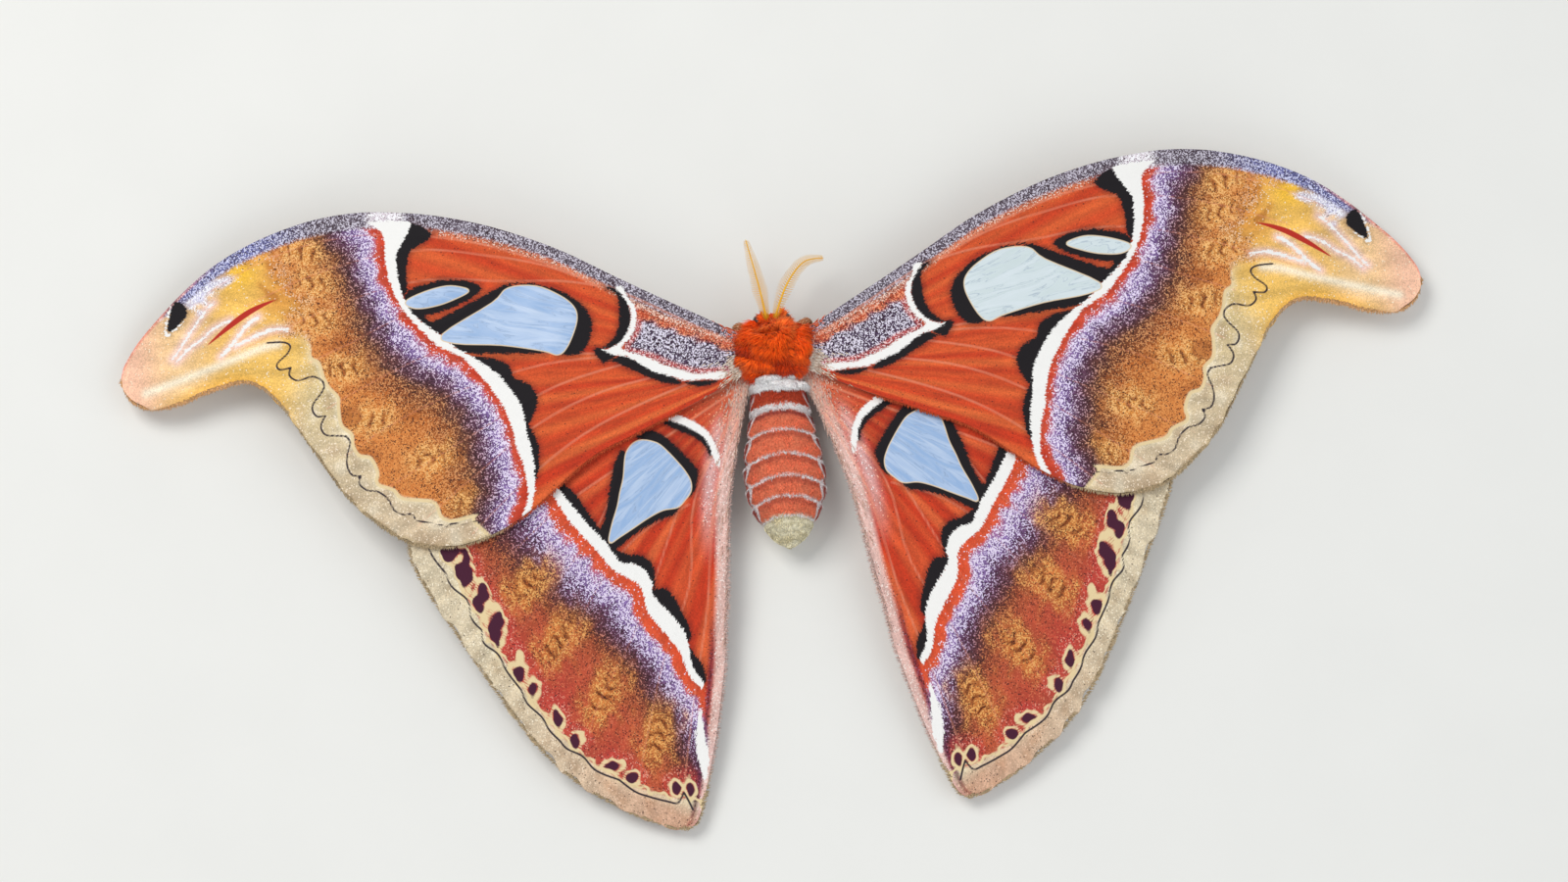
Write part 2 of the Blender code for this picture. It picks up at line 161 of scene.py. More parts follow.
FORE_BASE_AREA = (
    (27.0, 15.6), (26.1, 11.4), (24.8, 8.6), (25.3, 5.5), (27.2, 2.8), (26.9, 1.4), (22.9, 0.1),
    (18.7, -2.1), (14.4, -3.5), (9.0, -3.6), (2.0, -3.6), (2.0, 8.0), (18.0, 18.0),
)
FORE_FIELD_EDGE = (
    (98.0, 26.6), (92.3, 26.2), (90.3, 21.2), (89.0, 18.7), (87.0, 15.0), (89.3, 12.4), (89.0, 10.3),
    (85.4, 8.4), (85.3, 5.7), (83.8, 4.5), (83.1, 1.7), (82.2, -0.3), (80.6, -2.4), (80.6, -4.5),
    (80.3, -7.6), (78.5, -9.5), (78.4, -11.5), (77.5, -13.4), (75.4, -14.1), (74.2, -16.9),
    (74.4, -19.0), (71.6, -20.3), (70.0, -22.0), (64.4, -23.2), (63.2, -26.0), (61.1, -26.9),
    (56.4, -26.5), (54.4, -30.5), (20.0, -60.0), (-40.0, 0.0), (30.0, 70.0), (98.0, 45.0),
)
FORE_WAVES = (
    ((93.3, 9.0), (90.4, 8.9), (89.1, 8.1), (89.7, 6.7), (91.7, 5.0), (91.5, 3.9), (90.3, 3.8), (89.2, 4.0)),
    ((89.2, 4.0), (89.6, 2.6), (88.4, 1.5), (87.0, 1.6), (85.2, 1.9), (83.6, 1.0), (83.2, -0.2)),
    ((83.2, -0.2), (83.9, -1.4), (85.5, -3.3), (85.6, -4.7), (84.8, -5.7), (83.3, -5.7)),
    ((83.3, -5.7), (84.3, -7.5), (83.6, -9.2), (81.5, -9.6), (79.8, -9.8)),
    ((79.8, -9.8), (79.1, -11.1), (79.8, -13.4), (79.9, -15.6), (79.1, -17.1), (77.5, -17.4)),
    ((77.5, -17.4), (78.0, -18.7), (76.6, -20.1), (74.5, -20.6), (72.8, -22.2), (71.9, -24.2),
     (70.6, -25.1), (68.6, -25.1)),
    ((68.6, -25.1), (68.0, -26.3), (66.1, -27.0), (64.0, -27.5), (62.6, -28.1)),
    ((62.6, -28.1), (61.1, -27.6), (59.7, -27.9), (57.5, -27.5), (55.6, -28.4)),
)
# Pale flames and pink bands of the wing tip: the half width, then the line
FORE_FLAMES = (
    (0.28, ((102.9, 17.7), (104.9, 15.9), (107.2, 13.0), (109.9, 9.4), (111.2, 7.9))),
    (0.3, ((100.0, 14.0), (103.1, 12.8), (105.6, 10.9), (107.8, 9.7), (110.4, 7.4))),
    (0.45, ((94.8, 14.1), (97.3, 12.4), (99.0, 10.4), (100.4, 8.9), (102.2, 7.3))),
    (0.4, ((89.4, 11.2), (92.3, 11.4), (96.0, 10.3), (99.4, 8.9))),
)
FORE_STREAK = ((91.0, 17.1), (93.9, 16.2), (97.1, 14.8), (100.8, 12.5), (104.5, 9.8))
FORE_ROLL = ((91.4, 8.6), (94.4, 8.1), (100.0, 6.4), (107.0, 4.4), (112.2, 3.0), (116.5, 1.9))
FORE_BLUISH = ((108.8, 19.1), (106.5, 21.3), (104.1, 22.3), (100.4, 22.9), (99.3, 21.9),
               (101.2, 20.9), (104.1, 18.1), (106.9, 16.6))
FORE_PUCKERS = ((86.0, 25.6), (84.6, 19.5), (84.3, 12.4), (79.6, 2.8), (75.0, -7.2), (64.6, -15.4),
                (57.6, -23.6))
FORE_VEINS = (
    ((8.0, 1.6), (28.0, 13.2), (48.0, 22.4), (62.0, 26.2), (78.0, 27.6), (92.0, 25.0), (104.0, 19.6)),
    ((30.0, 13.6), (41.0, 18.9), (52.0, 21.8), (61.6, 23.6), (72.0, 23.4), (84.0, 21.0), (97.0, 16.4)),
    ((30.9, 14.1), (38.2, 15.7), (48.6, 16.6), (62.1, 18.0), (74.0, 16.4), (87.0, 12.4), (97.0, 8.6)),
    ((38.0, 2.6), (48.0, 14.9), (61.0, 9.4), (68.0, 11.2), (77.0, 7.8), (86.0, 4.4)),
    ((32.0, 1.4), (42.0, 2.4), (58.0, 4.9), (70.0, 1.6), (83.0, -4.4)),
    ((31.0, 0.8), (43.0, 0.2), (56.0, -2.6), (69.0, -7.4), (80.0, -13.4)),
    ((26.0, -0.4), (40.0, -3.8), (52.0, -9.4), (64.0, -15.6), (76.0, -21.6)),
    ((18.0, -2.9), (32.0, -5.6), (44.0, -10.6), (54.0, -17.4), (68.0, -27.6)),
    ((10.0, -3.4), (24.0, -8.0), (36.0, -13.2), (47.0, -20.6), (58.0, -30.0)),
)

# Hindwing markings
HIND_WHITE_OUTER = (
    (44.4, -20.4), (42.6, -24.0), (40.6, -27.9), (38.2, -31.2), (35.8, -34.1), (32.9, -38.1),
    (30.1, -39.9), (27.9, -41.9), (27.0, -46.4), (24.6, -49.9), (21.7, -54.3), (20.3, -58.6),
    (18.1, -61.3),
)
HIND_WHITE_INNER = (
    (17.8, -60.2), (18.4, -59.0), (19.8, -56.4), (20.3, -51.1), (23.1, -46.8), (25.9, -43.2),
    (25.7, -41.3), (26.9, -38.8), (28.9, -37.4), (31.3, -37.0), (32.9, -34.4), (34.3, -32.4),
    (36.7, -29.6), (39.1, -26.2), (41.3, -23.1), (43.0, -19.6),
)
HIND_BLACKS = (
    ((43.0, -19.2), (40.8, -21.4), (38.4, -24.2), (36.0, -28.4), (33.4, -32.6), (34.9, -32.6),
     (37.8, -29.4), (40.6, -25.4), (42.4, -22.0)),
    ((33.5, -34.0), (32.2, -34.4), (29.8, -35.7), (27.4, -36.0), (25.6, -37.6), (25.2, -40.6),
     (26.0, -43.0), (26.6, -40.0), (28.6, -37.8), (31.6, -37.2)),
    ((26.2, -43.4), (24.6, -42.3), (22.7, -43.0), (20.5, -47.4), (19.4, -50.9), (20.4, -52.6),
     (22.6, -48.0)),
    ((20.2, -53.0), (19.2, -54.5), (17.6, -57.2), (17.4, -60.0), (19.0, -59.6), (20.2, -56.4)),
    ((26.8, -14.3), (25.4, -13.5), (23.2, -13.4), (20.5, -15.4), (18.1, -18.1), (16.0, -20.9),
     (15.9, -22.5), (17.0, -25.4), (18.2, -25.6), (18.4, -22.0), (21.6, -18.2), (24.4, -15.4)),
    ((29.4, -16.4), (30.8, -18.4), (31.8, -21.5), (32.7, -25.4), (33.7, -29.3), (35.2, -31.9),
     (33.6, -33.6), (31.0, -27.0), (29.2, -21.0), (28.7, -18.0)),
    ((19.7, -27.6), (20.8, -29.0), (24.0, -30.0), (27.9, -31.9), (30.7, -33.8), (32.6, -34.8),
     (33.6, -33.2), (28.6, -30.6), (23.0, -27.6)),
    ((22.2, -11.4), (19.4, -13.4), (16.2, -15.0), (14.2, -16.9), (13.4, -18.8), (12.6, -17.6),
     (14.2, -14.8), (17.6, -12.4)),
)
HIND_PANES = (
    ((25.4, -15.0), (22.9, -15.8), (21.2, -17.4), (19.5, -19.5), (18.3, -21.2), (17.4, -23.1),
     (17.5, -25.0), (18.7, -26.5), (20.1, -27.7), (22.8, -28.0), (25.6, -29.2), (28.4, -30.8),
     (31.1, -32.3), (33.0, -33.2), (32.3, -30.2), (31.0, -26.8), (30.3, -24.2), (29.5, -21.6),
     (29.1, -19.0), (28.6, -17.0), (27.2, -15.4)),
)
HIND_BAND_WHITE = (
    (22.4, -10.6), (20.6, -11.4), (17.6, -12.9), (15.0, -14.6), (13.5, -16.6), (12.9, -19.0),
    (12.0, -21.0), (11.6, -19.4), (12.3, -16.6), (13.9, -13.8), (16.4, -11.9), (19.6, -10.6),
)
HIND_EXTRA_WHITE = ((18.7, -64.4), (18.4, -69.6), (18.0, -73.7), (18.9, -77.8), (19.9, -74.0),
                    (20.0, -69.0))
HIND_PUCKERS = ((48.3, -39.7), (43.8, -50.5), (36.3, -61.1), (27.0, -68.9))
# Dark spots of the hind margin: span and ahead, then how wide and how long each is
HIND_SPOTS = (
    (62.1, -32.8, 3.5, 2.5), (59.9, -36.3, 2.5, 5.6), (57.2, -41.5, 2.3, 4.3), (54.9, -47.1, 2.5, 5.4),
    (51.2, -55.3, 1.6, 3.3), (49.0, -59.0, 1.4, 2.9), (45.1, -64.7, 1.6, 2.9), (41.9, -68.7, 2.0, 2.2),
    (35.5, -73.8, 2.5, 1.5), (32.1, -76.1, 2.0, 2.0), (24.2, -78.6, 1.6, 2.0), (21.8, -79.1, 1.2, 2.0),
)
HIND_FIELD_EDGE = (
    (64.6, -27.0), (63.0, -31.0), (61.6, -36.2), (60.2, -40.4), (58.0, -44.6), (56.4, -49.0),
    (54.2, -52.4), (51.6, -57.0), (49.0, -61.2), (46.2, -65.4), (42.8, -69.4), (39.6, -72.6),
    (36.2, -75.0), (32.6, -77.4), (28.6, -79.0), (24.6, -80.4), (21.0, -81.0), (10.0, -84.0),
    (-30.0, -60.0), (-10.0, 20.0), (70.0, 10.0), (74.0, -20.0),
)
HIND_WAVES = (
    ((66.4, -30.0), (65.6, -33.0), (63.3, -36.5)),
    ((63.3, -36.5), (62.4, -39.0), (59.7, -41.7), (59.3, -45.0), (57.5, -47.3)),
    ((57.5, -47.3), (57.3, -49.8), (54.9, -51.9), (53.5, -55.2), (51.1, -58.8)),
    ((51.1, -58.8), (50.3, -61.2), (47.8, -63.9), (46.6, -66.4), (44.8, -68.5)),
    ((44.8, -68.5), (43.6, -70.1), (40.9, -71.6), (38.7, -74.4), (34.6, -76.4)),
    ((34.6, -76.4), (31.9, -78.7), (29.5, -79.8), (26.0, -81.0), (24.2, -81.4), (23.0, -79.6)),
    ((23.0, -79.6), (22.4, -80.8), (21.6, -82.8)),
)
HIND_VEINS = (
    ((8.0, -6.0), (24.0, -11.4), (38.0, -17.6), (50.0, -24.4), (64.0, -33.0)),
    ((8.0, -7.0), (20.0, -14.0), (30.0, -19.4), (44.0, -28.0), (60.0, -42.0)),
    ((30.0, -19.4), (34.0, -28.6), (42.0, -38.6), (55.0, -53.0)),
    ((18.0, -27.4), (28.0, -32.6), (36.0, -41.6), (43.0, -52.6), (49.6, -61.4)),
    ((20.0, -28.0), (25.5, -41.1), (30.6, -51.6), (37.6, -63.0), (40.4, -72.0)),
    ((9.0, -12.0), (16.9, -26.6), (19.0, -42.0), (25.0, -56.0), (31.4, -78.0)),
    ((8.0, -13.0), (13.4, -28.0), (16.0, -46.0), (19.6, -62.0), (23.4, -81.0)),
)

# Rings of pale tufts on the abdomen, by how far ahead they lie on the midline
ABDOMEN_RINGS = (-11.4, -15.2, -19.8, -23.9, -27.6, -31.0)
RING_ARCH = 1.3

# A tuft: its corners, the painted shade that darkens it towards the root and the painted light at its tip,
# and its patch on the map
TUFT_SECTION = ((-0.5, 0.0), (0.5, 0.0), (0.0, 0.45))
TUFT_TRIANGLES = np.array((
    (0, 2, 1), (0, 1, 4), (0, 4, 3), (1, 2, 5), (1, 5, 4), (2, 0, 3), (2, 3, 5),
    (3, 4, 6), (4, 5, 6), (5, 3, 6),
))
TUFT_CORNERS = 7
TUFT_PAINTED_SHADING = np.array((0.72, 0.72, 0.78, 0.96, 0.96, 1.0, 1.12))
TUFT_SINK = 0.3
TUFT_MIDDLE_WIDTH = 0.8
TUFT_PATCH = 0.003
TUFT_ON_PATCH = np.array(((0, 0), (1, 0), (0.5, 0), (0.1, 0.6), (0.9, 0.6), (0.5, 0.6), (0.5, 1)))
MAP_RIM = 0.001
FLOOR_GAP = 0.00004

# Grids of the meshes, as steps one way and the other
RIB_STEPS = 1200
FOREWING_ROWS = 126
HINDWING_GRID = (260, 132)
EGG_GRID = (30, 40)
ABDOMEN_GRID = (90, 60)
EYE_GRID = (41, 64)
PALP_STEPS = 12
STALK_STEPS = 90
LEG_STEPS = 96

# The sheet that the wings lie on, as in the CAD
WING_ROOT_HEIGHT = 10.0
WING_ARCH = 1.6
WING_ARCH_LENGTH = 130.0
TIP_DROOP = 6.5
TIP_DROOP_POWER = 2.6
FRONT_DROOP = 0.9
FRONT_DROOP_FROM = 5.0
FRONT_DROOP_LENGTH = 27.0
REAR_DROOP = 7.2
REAR_DROOP_FROM = -8.0
REAR_DROOP_LENGTH = 78.0
REAR_DROOP_POWER = 1.25
FOREWING_LIFT = 0.5
HINDWING_DROP = 0.5
HINDWING_ROOT_DROP = 1.2
ROOT_FADE = 20.0

# Wing blades: thickness at the root and the front edge, and the ripple of the margin
WING_RIBS = {"forewing": FOREWING_RIBS, "hindwing": HINDWING_RIBS}
WING_BUILD = {
    "forewing": {"root": 1.4, "front": 0.85, "ripple": 0.28, "seed": 61},
    "hindwing": {"root": 1.0, "front": 0.4, "ripple": 0.42, "seed": 62},
}
ROOT_THINNING = 9.0
FRONT_EDGE_THINNING = 14.0
RIPPLE_WAY = (0.6, -0.8)

# Wing colours
FIBRE_ROOT = (2.0, -3.0)
FIBRE_PACE = 0.12
FIBRE_COUNT = 34.0
UNDER_GRAIN = (0.0, 0.0, 7.0)
DARK_SCALE = (46, 22, 28)
STRAY_DARK = 0.006
PUCKER_FAN = (3.0, -6.0)
FOLD_SPACING = 2.3
SPOT_SQUARENESS = 1.5
PALE_STRIP_SPAN = 70.0
DOT_EDGE_SHIFT = (0.45, -0.5)
FORE_ROOT_STREAK = ((24.0, 8.8), (15.0, 4.6), (7.0, 1.2))
# Points that close the root side of a wing behind its white band
FORE_ROOT_SIDE = ((40.0, -60.0), (-60.0, 0.0), (40.0, 80.0), (74.0, 60.0))
HIND_ROOT_SIDE = ((10.0, -84.0), (-60.0, -60.0), (-40.0, 60.0), (60.0, 40.0), (60.0, 0.0))
# Widths of the strips at the front and inner edges: how far out or back, then the width
FORE_STRIP_WIDTHS = ((6, 1.2), (20, 2.6), (40, 2.4), (60, 2.6), (75, 3.0), (95, 2.4), (108, 1.8), (114, 0.4))
HIND_STRIP_WIDTHS = ((4, 2.0), (20, 2.2), (50, 2.0), (70, 1.5), (86, 0.6))
# Tans of the forewing's margin: how far ahead, then the shade
FORE_TANS = ((-32.0, 210, 188, 158), (-12.0, 210, 190, 154), (2.0, 218, 194, 140), (9.0, 230, 194, 116))
# Bands beyond the white band: how far out, then a shade, or a share of the scales
FORE_ZONE = {
    "ground": (
        (0.0, 196, 60, 36), (1.5, 206, 82, 60), (2.3, 166, 112, 150), (3.2, 132, 106, 164),
        (5.0, 112, 84, 134), (6.6, 96, 62, 90), (8.6, 88, 52, 58), (11.0, 108, 64, 46),
        (14.0, 146, 80, 40), (18.0, 182, 102, 46), (24.0, 196, 116, 58),
    ),
    "speck": (
        (1.4, 240, 226, 246), (5.0, 226, 214, 242), (8.0, 190, 150, 166), (11.0, 200, 140, 96),
        (20.0, 224, 144, 78),
    ),
    "light": (
        (1.0, 0.02), (1.9, 0.3), (2.8, 0.54), (4.8, 0.4), (6.4, 0.24), (9.0, 0.14), (12.0, 0.28),
        (18.0, 0.42),
    ),
    "dark": ((1.0, 0.0), (2.4, 0.06), (4.4, 0.14), (6.6, 0.3), (9.0, 0.4), (13.0, 0.32), (20.0, 0.2)),
}
HIND_ZONE = {
    "ground": (
        (0.0, 214, 76, 42), (2.5, 218, 88, 56), (3.2, 170, 112, 150), (4.1, 138, 112, 170),
        (5.8, 118, 90, 142), (7.6, 98, 62, 94), (10.4, 86, 48, 60), (12.8, 108, 56, 48),
        (15.4, 142, 68, 44), (19.0, 178, 80, 52), (30.0, 180, 68, 52),
    ),
    "speck": (
        (2.2, 236, 222, 242), (7.0, 218, 206, 236), (9.6, 172, 136, 164), (13.0, 194, 116, 74),
        (20.0, 206, 102, 72),
    ),
    "light": (
        (1.9, 0.02), (2.9, 0.3), (4.0, 0.54), (5.8, 0.42), (7.6, 0.26), (10.4, 0.14), (14.0, 0.2),
        (22.0, 0.14),
    ),
    "dark": ((2.0, 0.0), (3.6, 0.12), (5.4, 0.2), (8.0, 0.36), (12.6, 0.4), (16.0, 0.24), (24.0, 0.08)),
}

# Body, head parts and legs
RING_ARCH_SPAN = 6.0
FIRST_RING = -11.1
FIRST_RING_TUFTS = -10.8
SCALLOP_LENGTH = 4.2
TAIL_FROM = -30.4
TAIL_LINE_SPACING = 1.3
WAIST = {"ahead": -5.0, "height": 8.9, "wide": 5.0, "long": 2.6, "tall": 4.0}
PALP_TIP_SHARE = 0.6
# The skin under the coat is darkened as painted shade deep in the coat
SKIN_PAINTED_SHADE = 0.7
SKIN_NODES = ("head", "thorax", "abdomen", "palp_left", "palp_right")
BODY_AXIS_HEIGHT = 8.0
BODY_TAIL = -38.0
BODY_LENGTH = 48.0
FACET_DEPTH = 0.012
FACET_WAVES = (44.0, 46.0)
# Shares of a leg's length at which its knees and the joints of its foot are
KNEES = (0.286, 0.643, 0.735, 0.79, 0.845, 0.9, 0.95)
LEG_TUFTS = 620
SOLE_GAP = 0.02

# Wing hair: the grid it stands on, its tufts and where it starts
FORE_HAIR = {"grid": (200, 60), "tufts": 1500, "span": 5.4}
HIND_HAIR = {"grid": (160, 60), "tufts": 1900, "place": (6.0, -5.0)}
FRINGES = {
    "forewing": {"grid": (420, 40), "from": 40, "tufts": 3000},
    "hindwing": {"grid": (360, 40), "from": 50, "tufts": 3400},
}

# Stage: where the camera looks, and each light's place from there, power, size and colour
LOOK_HEIGHT = 0.010
SENSOR_WIDTH = 36.0
ROOM_COLOUR = (0.93, 0.96, 1.0, 1.0)
LIGHTS = (
    ("key light", (0.35, -0.35, 0.75), 4.2, 0.45, (1.0, 0.98, 0.95)),
    ("fill light", (-0.6, 0.15, 0.6), 1.8, 0.8, (0.95, 0.98, 1.0)),
    ("back light", (0.1, 0.75, 0.5), 1.5, 0.6, (1.0, 1.0, 1.0)),
)

# Maps for baking: the room at their edges and inside them, and how a wing's sides lie on its own
MAP_MARGIN = 0.02
MAP_ROOM = 0.96
SIDE_ON_MAP = (0.96, 0.46)
UNDER_ON_MAP = (0.0, 0.5)
RIM_ON_MAP = 1.015

# A distance that is far from every mark
FAR_OFF = 5.0


def rgb(*shades):
    """Linear colour of a red, green and blue from 0 to 255 as a picture shows them."""
    return (np.asarray(shades, float) / 255.0) ** 2.2


def all_over(spots, *shades):
    """One colour for each of the spots."""
    return np.tile(rgb(*shades), (len(spots), 1))


def places(side, spots):
    """World places of spots given as span, ahead and height."""
    spots = np.asarray(spots, float)
    across = spots[..., 0] * OUTWARD[side]
    return np.stack((across, MIDDLE_AHEAD - spots[..., 1], spots[..., 2]), -1) * MM


def to_spots(world):
    """Span (less than nothing on the right side), ahead and height of world places."""
    return np.column_stack((world[:, 0] / MM, MIDDLE_AHEAD - world[:, 1] / MM, world[:, 2] / MM))


def along_curve(points, share):
    """Points at shares from 0 to 1 of a smooth curve through a list of points."""
    points = np.asarray(points, float)
    last = len(points) - 1
    position = np.clip(np.asarray(share, float), 0.0, 1.0) * last
    start = np.minimum(position.astype(int), last - 1)
    t = (position - start)[..., None]
    before = points[np.maximum(start - 1, 0)]
    here = points[start]
    there = points[start + 1]
    after = points[np.minimum(start + 2, last)]
    bend = (2 * before - 5 * here + 4 * there - after) * t ** 2
    bend += (3 * here - before - 3 * there + after) * t ** 3
    return 0.5 * (2 * here + (there - before) * t + bend)


def line_through(points, steps=4):
    """The points of a smooth line through a list of points."""
    return along_curve(points, np.linspace(0.0, 1.0, steps * (len(points) - 1) + 1))


def outline_through(points, steps=4):
    """The points of a smooth closed outline through a list of points."""
    points = np.asarray(points, float)
    looped = np.vstack((points[-2:], points, points[:3]))
    return along_curve(looped, (2 + np.arange(steps * len(points)) / steps) / (len(looped) - 1))


def to_line(spots, line):
    """Distance of each spot to a line of straight runs."""
    nearest = np.full(len(spots), 1e9)
    for start, end in zip(line[:-1], line[1:]):
        run = end - start
        share = np.clip((spots - start) @ run / max(run @ run, 1e-9), 0.0, 1.0)
        away = spots - start - share[:, None] * run
        nearest = np.minimum(nearest, (away ** 2).sum(-1))
    return np.sqrt(nearest)


def is_inside(spots, outline):
    """Whether each spot lies inside an outline."""
    odd = np.zeros(len(spots), bool)
    x, y = spots.T
    for (x0, y0), (x1, y1) in zip(outline, np.roll(outline, -1, axis=0)):
        if y0 != y1:
            odd ^= ((y0 > y) != (y1 > y)) & (x < (x1 - x0) * (y - y0) / (y1 - y0) + x0)
    return odd


def to_outline(spots, outline):
    """Distance of each spot to an outline, less than nothing inside it."""
    gap = to_line(spots, np.vstack((outline, outline[:1])))
    return np.where(is_inside(spots, outline), -gap, gap)


def to_shapes(spots, outlines):
    """The least distance of each spot to several smooth outlines."""
    return np.min([to_outline(spots, outline_through(outline)) for outline in outlines], axis=0)


def to_lines(spots, lines):
    """The least distance of each spot to several smooth lines."""
    return np.min([to_line(spots, line_through(line)) for line in lines], axis=0)


def ease(low, high, value):
    """0 below low and 1 above high, with a soft change between, or the other way round."""
    t = np.clip((np.asarray(value, float) - low) / (high - low), 0.0, 1.0)
    return t * t * (3.0 - 2.0 * t)


def hump(distance, reach):
    """1 at no distance, falling away over a reach."""
    return np.exp(-(distance / reach) ** 2)


def mixed(base, colour, amount):
    """Colours blended towards another by an amount for each spot."""
    amount = np.asarray(amount)[:, None]
    return base * (1.0 - amount) + colour * amount


def layered(base, *layers):
    """Colours with layers blended over them, each a shade and its amount at each spot."""
    for shade, amount in layers:
        base = mixed(base, rgb(*shade), amount)
    return base


def ramp(value, stops):
    """Values or colours read from stops, each a place and then a value or a shade."""
    stops = np.array(stops, float)
    if stops.shape[1] == 2:
        return np.interp(value, *stops.T)
    return np.stack([np.interp(value, stops[:, 0], part) for part in rgb(*stops[:, 1:]).T], -1)


def waves(spots, size, seed):
    """Soft random waves over places, about -1 to 1, with humps of about a size."""
    spots = np.asarray(spots, float)
    random = np.random.default_rng(seed)
    total = np.zeros(len(spots))
    for _ in range(7):
        heading = random.normal(size=spots.shape[1])
        heading /= np.linalg.norm(heading)
        pace = 2.0 * math.pi / (size * random.uniform(1.4, 3.0))
        total += np.sin(spots @ heading * pace + random.uniform(0.0, 2.0 * math.pi))
    return total / 3.0


def unit(vectors):
    """Vectors of length 1 along the given ones."""
    return vectors / np.maximum(np.linalg.norm(vectors, axis=-1, keepdims=True), 1e-12)


def travel(line):
    """How far along a line each of its points is."""
    return np.concatenate(((0.0,), np.cumsum(np.hypot(*np.diff(line, axis=0).T))))


def settings():
    """The sizes and colours that the panel holds."""
    return bpy.context.scene.atlas_moth


# Meshes


def new_mesh(name, corners, triangles):
    """A smooth shaded mesh from arrays of corner places and triangles."""
    mesh = bpy.data.meshes.new(name)
    mesh.vertices.add(len(corners))
    mesh.vertices.foreach_set("co", np.ascontiguousarray(corners, np.float32).ravel())
    mesh.loops.add(3 * len(triangles))
    mesh.loops.foreach_set("vertex_index", np.ascontiguousarray(triangles, np.int32).ravel())
    mesh.polygons.add(len(triangles))
    mesh.polygons.foreach_set("loop_start", np.arange(0, 3 * len(triangles), 3, dtype=np.int32))
    mesh.update(calc_edges=True)
    mesh.shade_smooth()
    return mesh


def paint(mesh, name, values, kind="FLOAT_COLOR"):
    """Store a colour or a value for each corner of a mesh."""
    values = np.asarray(values, np.float32)
    if kind == "FLOAT_COLOR" and values.shape[1] == 3:
        values = np.hstack((values, np.ones((len(values), 1), np.float32)))
    layer = mesh.attributes.new(name, kind, "POINT")
    field = {"FLOAT": "value", "FLOAT_VECTOR": "vector", "FLOAT_COLOR": "color"}[kind]
    layer.data.foreach_set(field, values.ravel())


def unwrap(mesh, places_on_map):
    """Give the mesh its map for baking, from a place for each loop."""
    layer = mesh.uv_layers.new(name="OFBake")
    layer.uv.foreach_set("vector", np.ascontiguousarray(places_on_map, np.float32).ravel())


def loop_corners(mesh):
    """The corner that each loop of a mesh stands on."""
    corners = np.empty(len(mesh.loops), np.int32)
    mesh.loops.foreach_get("vertex_index", corners)
    return corners


def corner_values(mesh, name):
    """Places or normals of the corners of a mesh."""
    values = np.empty(3 * len(mesh.vertices), np.float32)
    mesh.vertices.foreach_get(name, values)
    return values.reshape(-1, 3).astype(float)


def add_piece(mesh, finish, nodes=()):
    """Add a mesh to the scene as a piece that rides on the moth's body."""
    mesh.materials.append(finish)
    piece = bpy.data.objects.new(mesh.name, mesh)
    bpy.context.scene.collection.objects.link(piece)
    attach(piece, "root")
    if nodes:
        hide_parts(*nodes)
    return piece


def strip_triangles(first, second, stride):
    """Triangles that join pairs of corners to the pairs a stride further on."""
    halves = ((first, second, second + stride), (first, second + stride, first + stride))
    return np.vstack([np.stack(half, -1) for half in halves])


def grid_triangles(columns, rows, flipped=False):
    """Triangles of a grid of corners, rows + 1 to a column."""
    first = (np.arange(columns)[:, None] * (rows + 1) + np.arange(rows)).ravel()
    triangles = strip_triangles(first, first + rows + 1, 1)
    return triangles[:, ::-1] if flipped else triangles


def ring_pairs(rings, sectors):
    """The corners of rings of corners, but for the last ring, and the next one round from each."""
    first = np.arange((rings - 1) * sectors)
    return first, first // sectors * sectors + (first + 1) % sectors


def wrapped_grid(spots):
    """Corners and triangles of rings of spots joined all round."""
    rings, sectors = spots.shape[:2]
    return places("left", spots).reshape(-1, 3), strip_triangles(*ring_pairs(rings, sectors), sectors)


def swept_tube(path, radii, sides):
    """Corners and triangles of a closed tube along world places, with a radius at each."""
    path = np.asarray(path, float)
    heading = unit(np.gradient(path, axis=0))
    upward = np.tile(UPWARD, (len(path), 1))
    upward[np.abs(heading[:, 2]) > 0.97] = (0.0, 1.0, 0.0)
    sideways = unit(np.cross(heading, upward))
    over = np.cross(sideways, heading)
    turn = around(sides)
    ring = sideways[:, None] * np.cos(turn)[:, None] + over[:, None] * np.sin(turn)[:, None]
    corners = (path[:, None] + ring * np.asarray(radii)[:, None, None]).reshape(-1, 3)
    step = np.arange(sides)
    onward = (step + 1) % sides
    last = (len(path) - 1) * sides
    first, second = ring_pairs(len(path), sides)
    sheet = np.stack((first, second, second + sides, first, second + sides, first + sides), -1)
    low, high = np.full((2, sides), ((len(corners),), (len(corners) + 1,)))
    ends = np.stack((low, onward, step, high, last + step, last + onward), -1)
    return np.vstack((corners, path[0], path[-1])), np.vstack((sheet, ends)).reshape(-1, 3)


def around(sectors):
    """Angles of even steps all round."""
    return np.arange(sectors) * 2.0 * math.pi / sectors


def join_shapes(shapes):
    """One set of corners and triangles from several."""
    counts = np.cumsum([0] + [len(corners) for corners, _ in shapes])
    triangles = [some + count for (_, some), count in zip(shapes, counts)]
    return np.vstack([corners for corners, _ in shapes]), np.vstack(triangles)


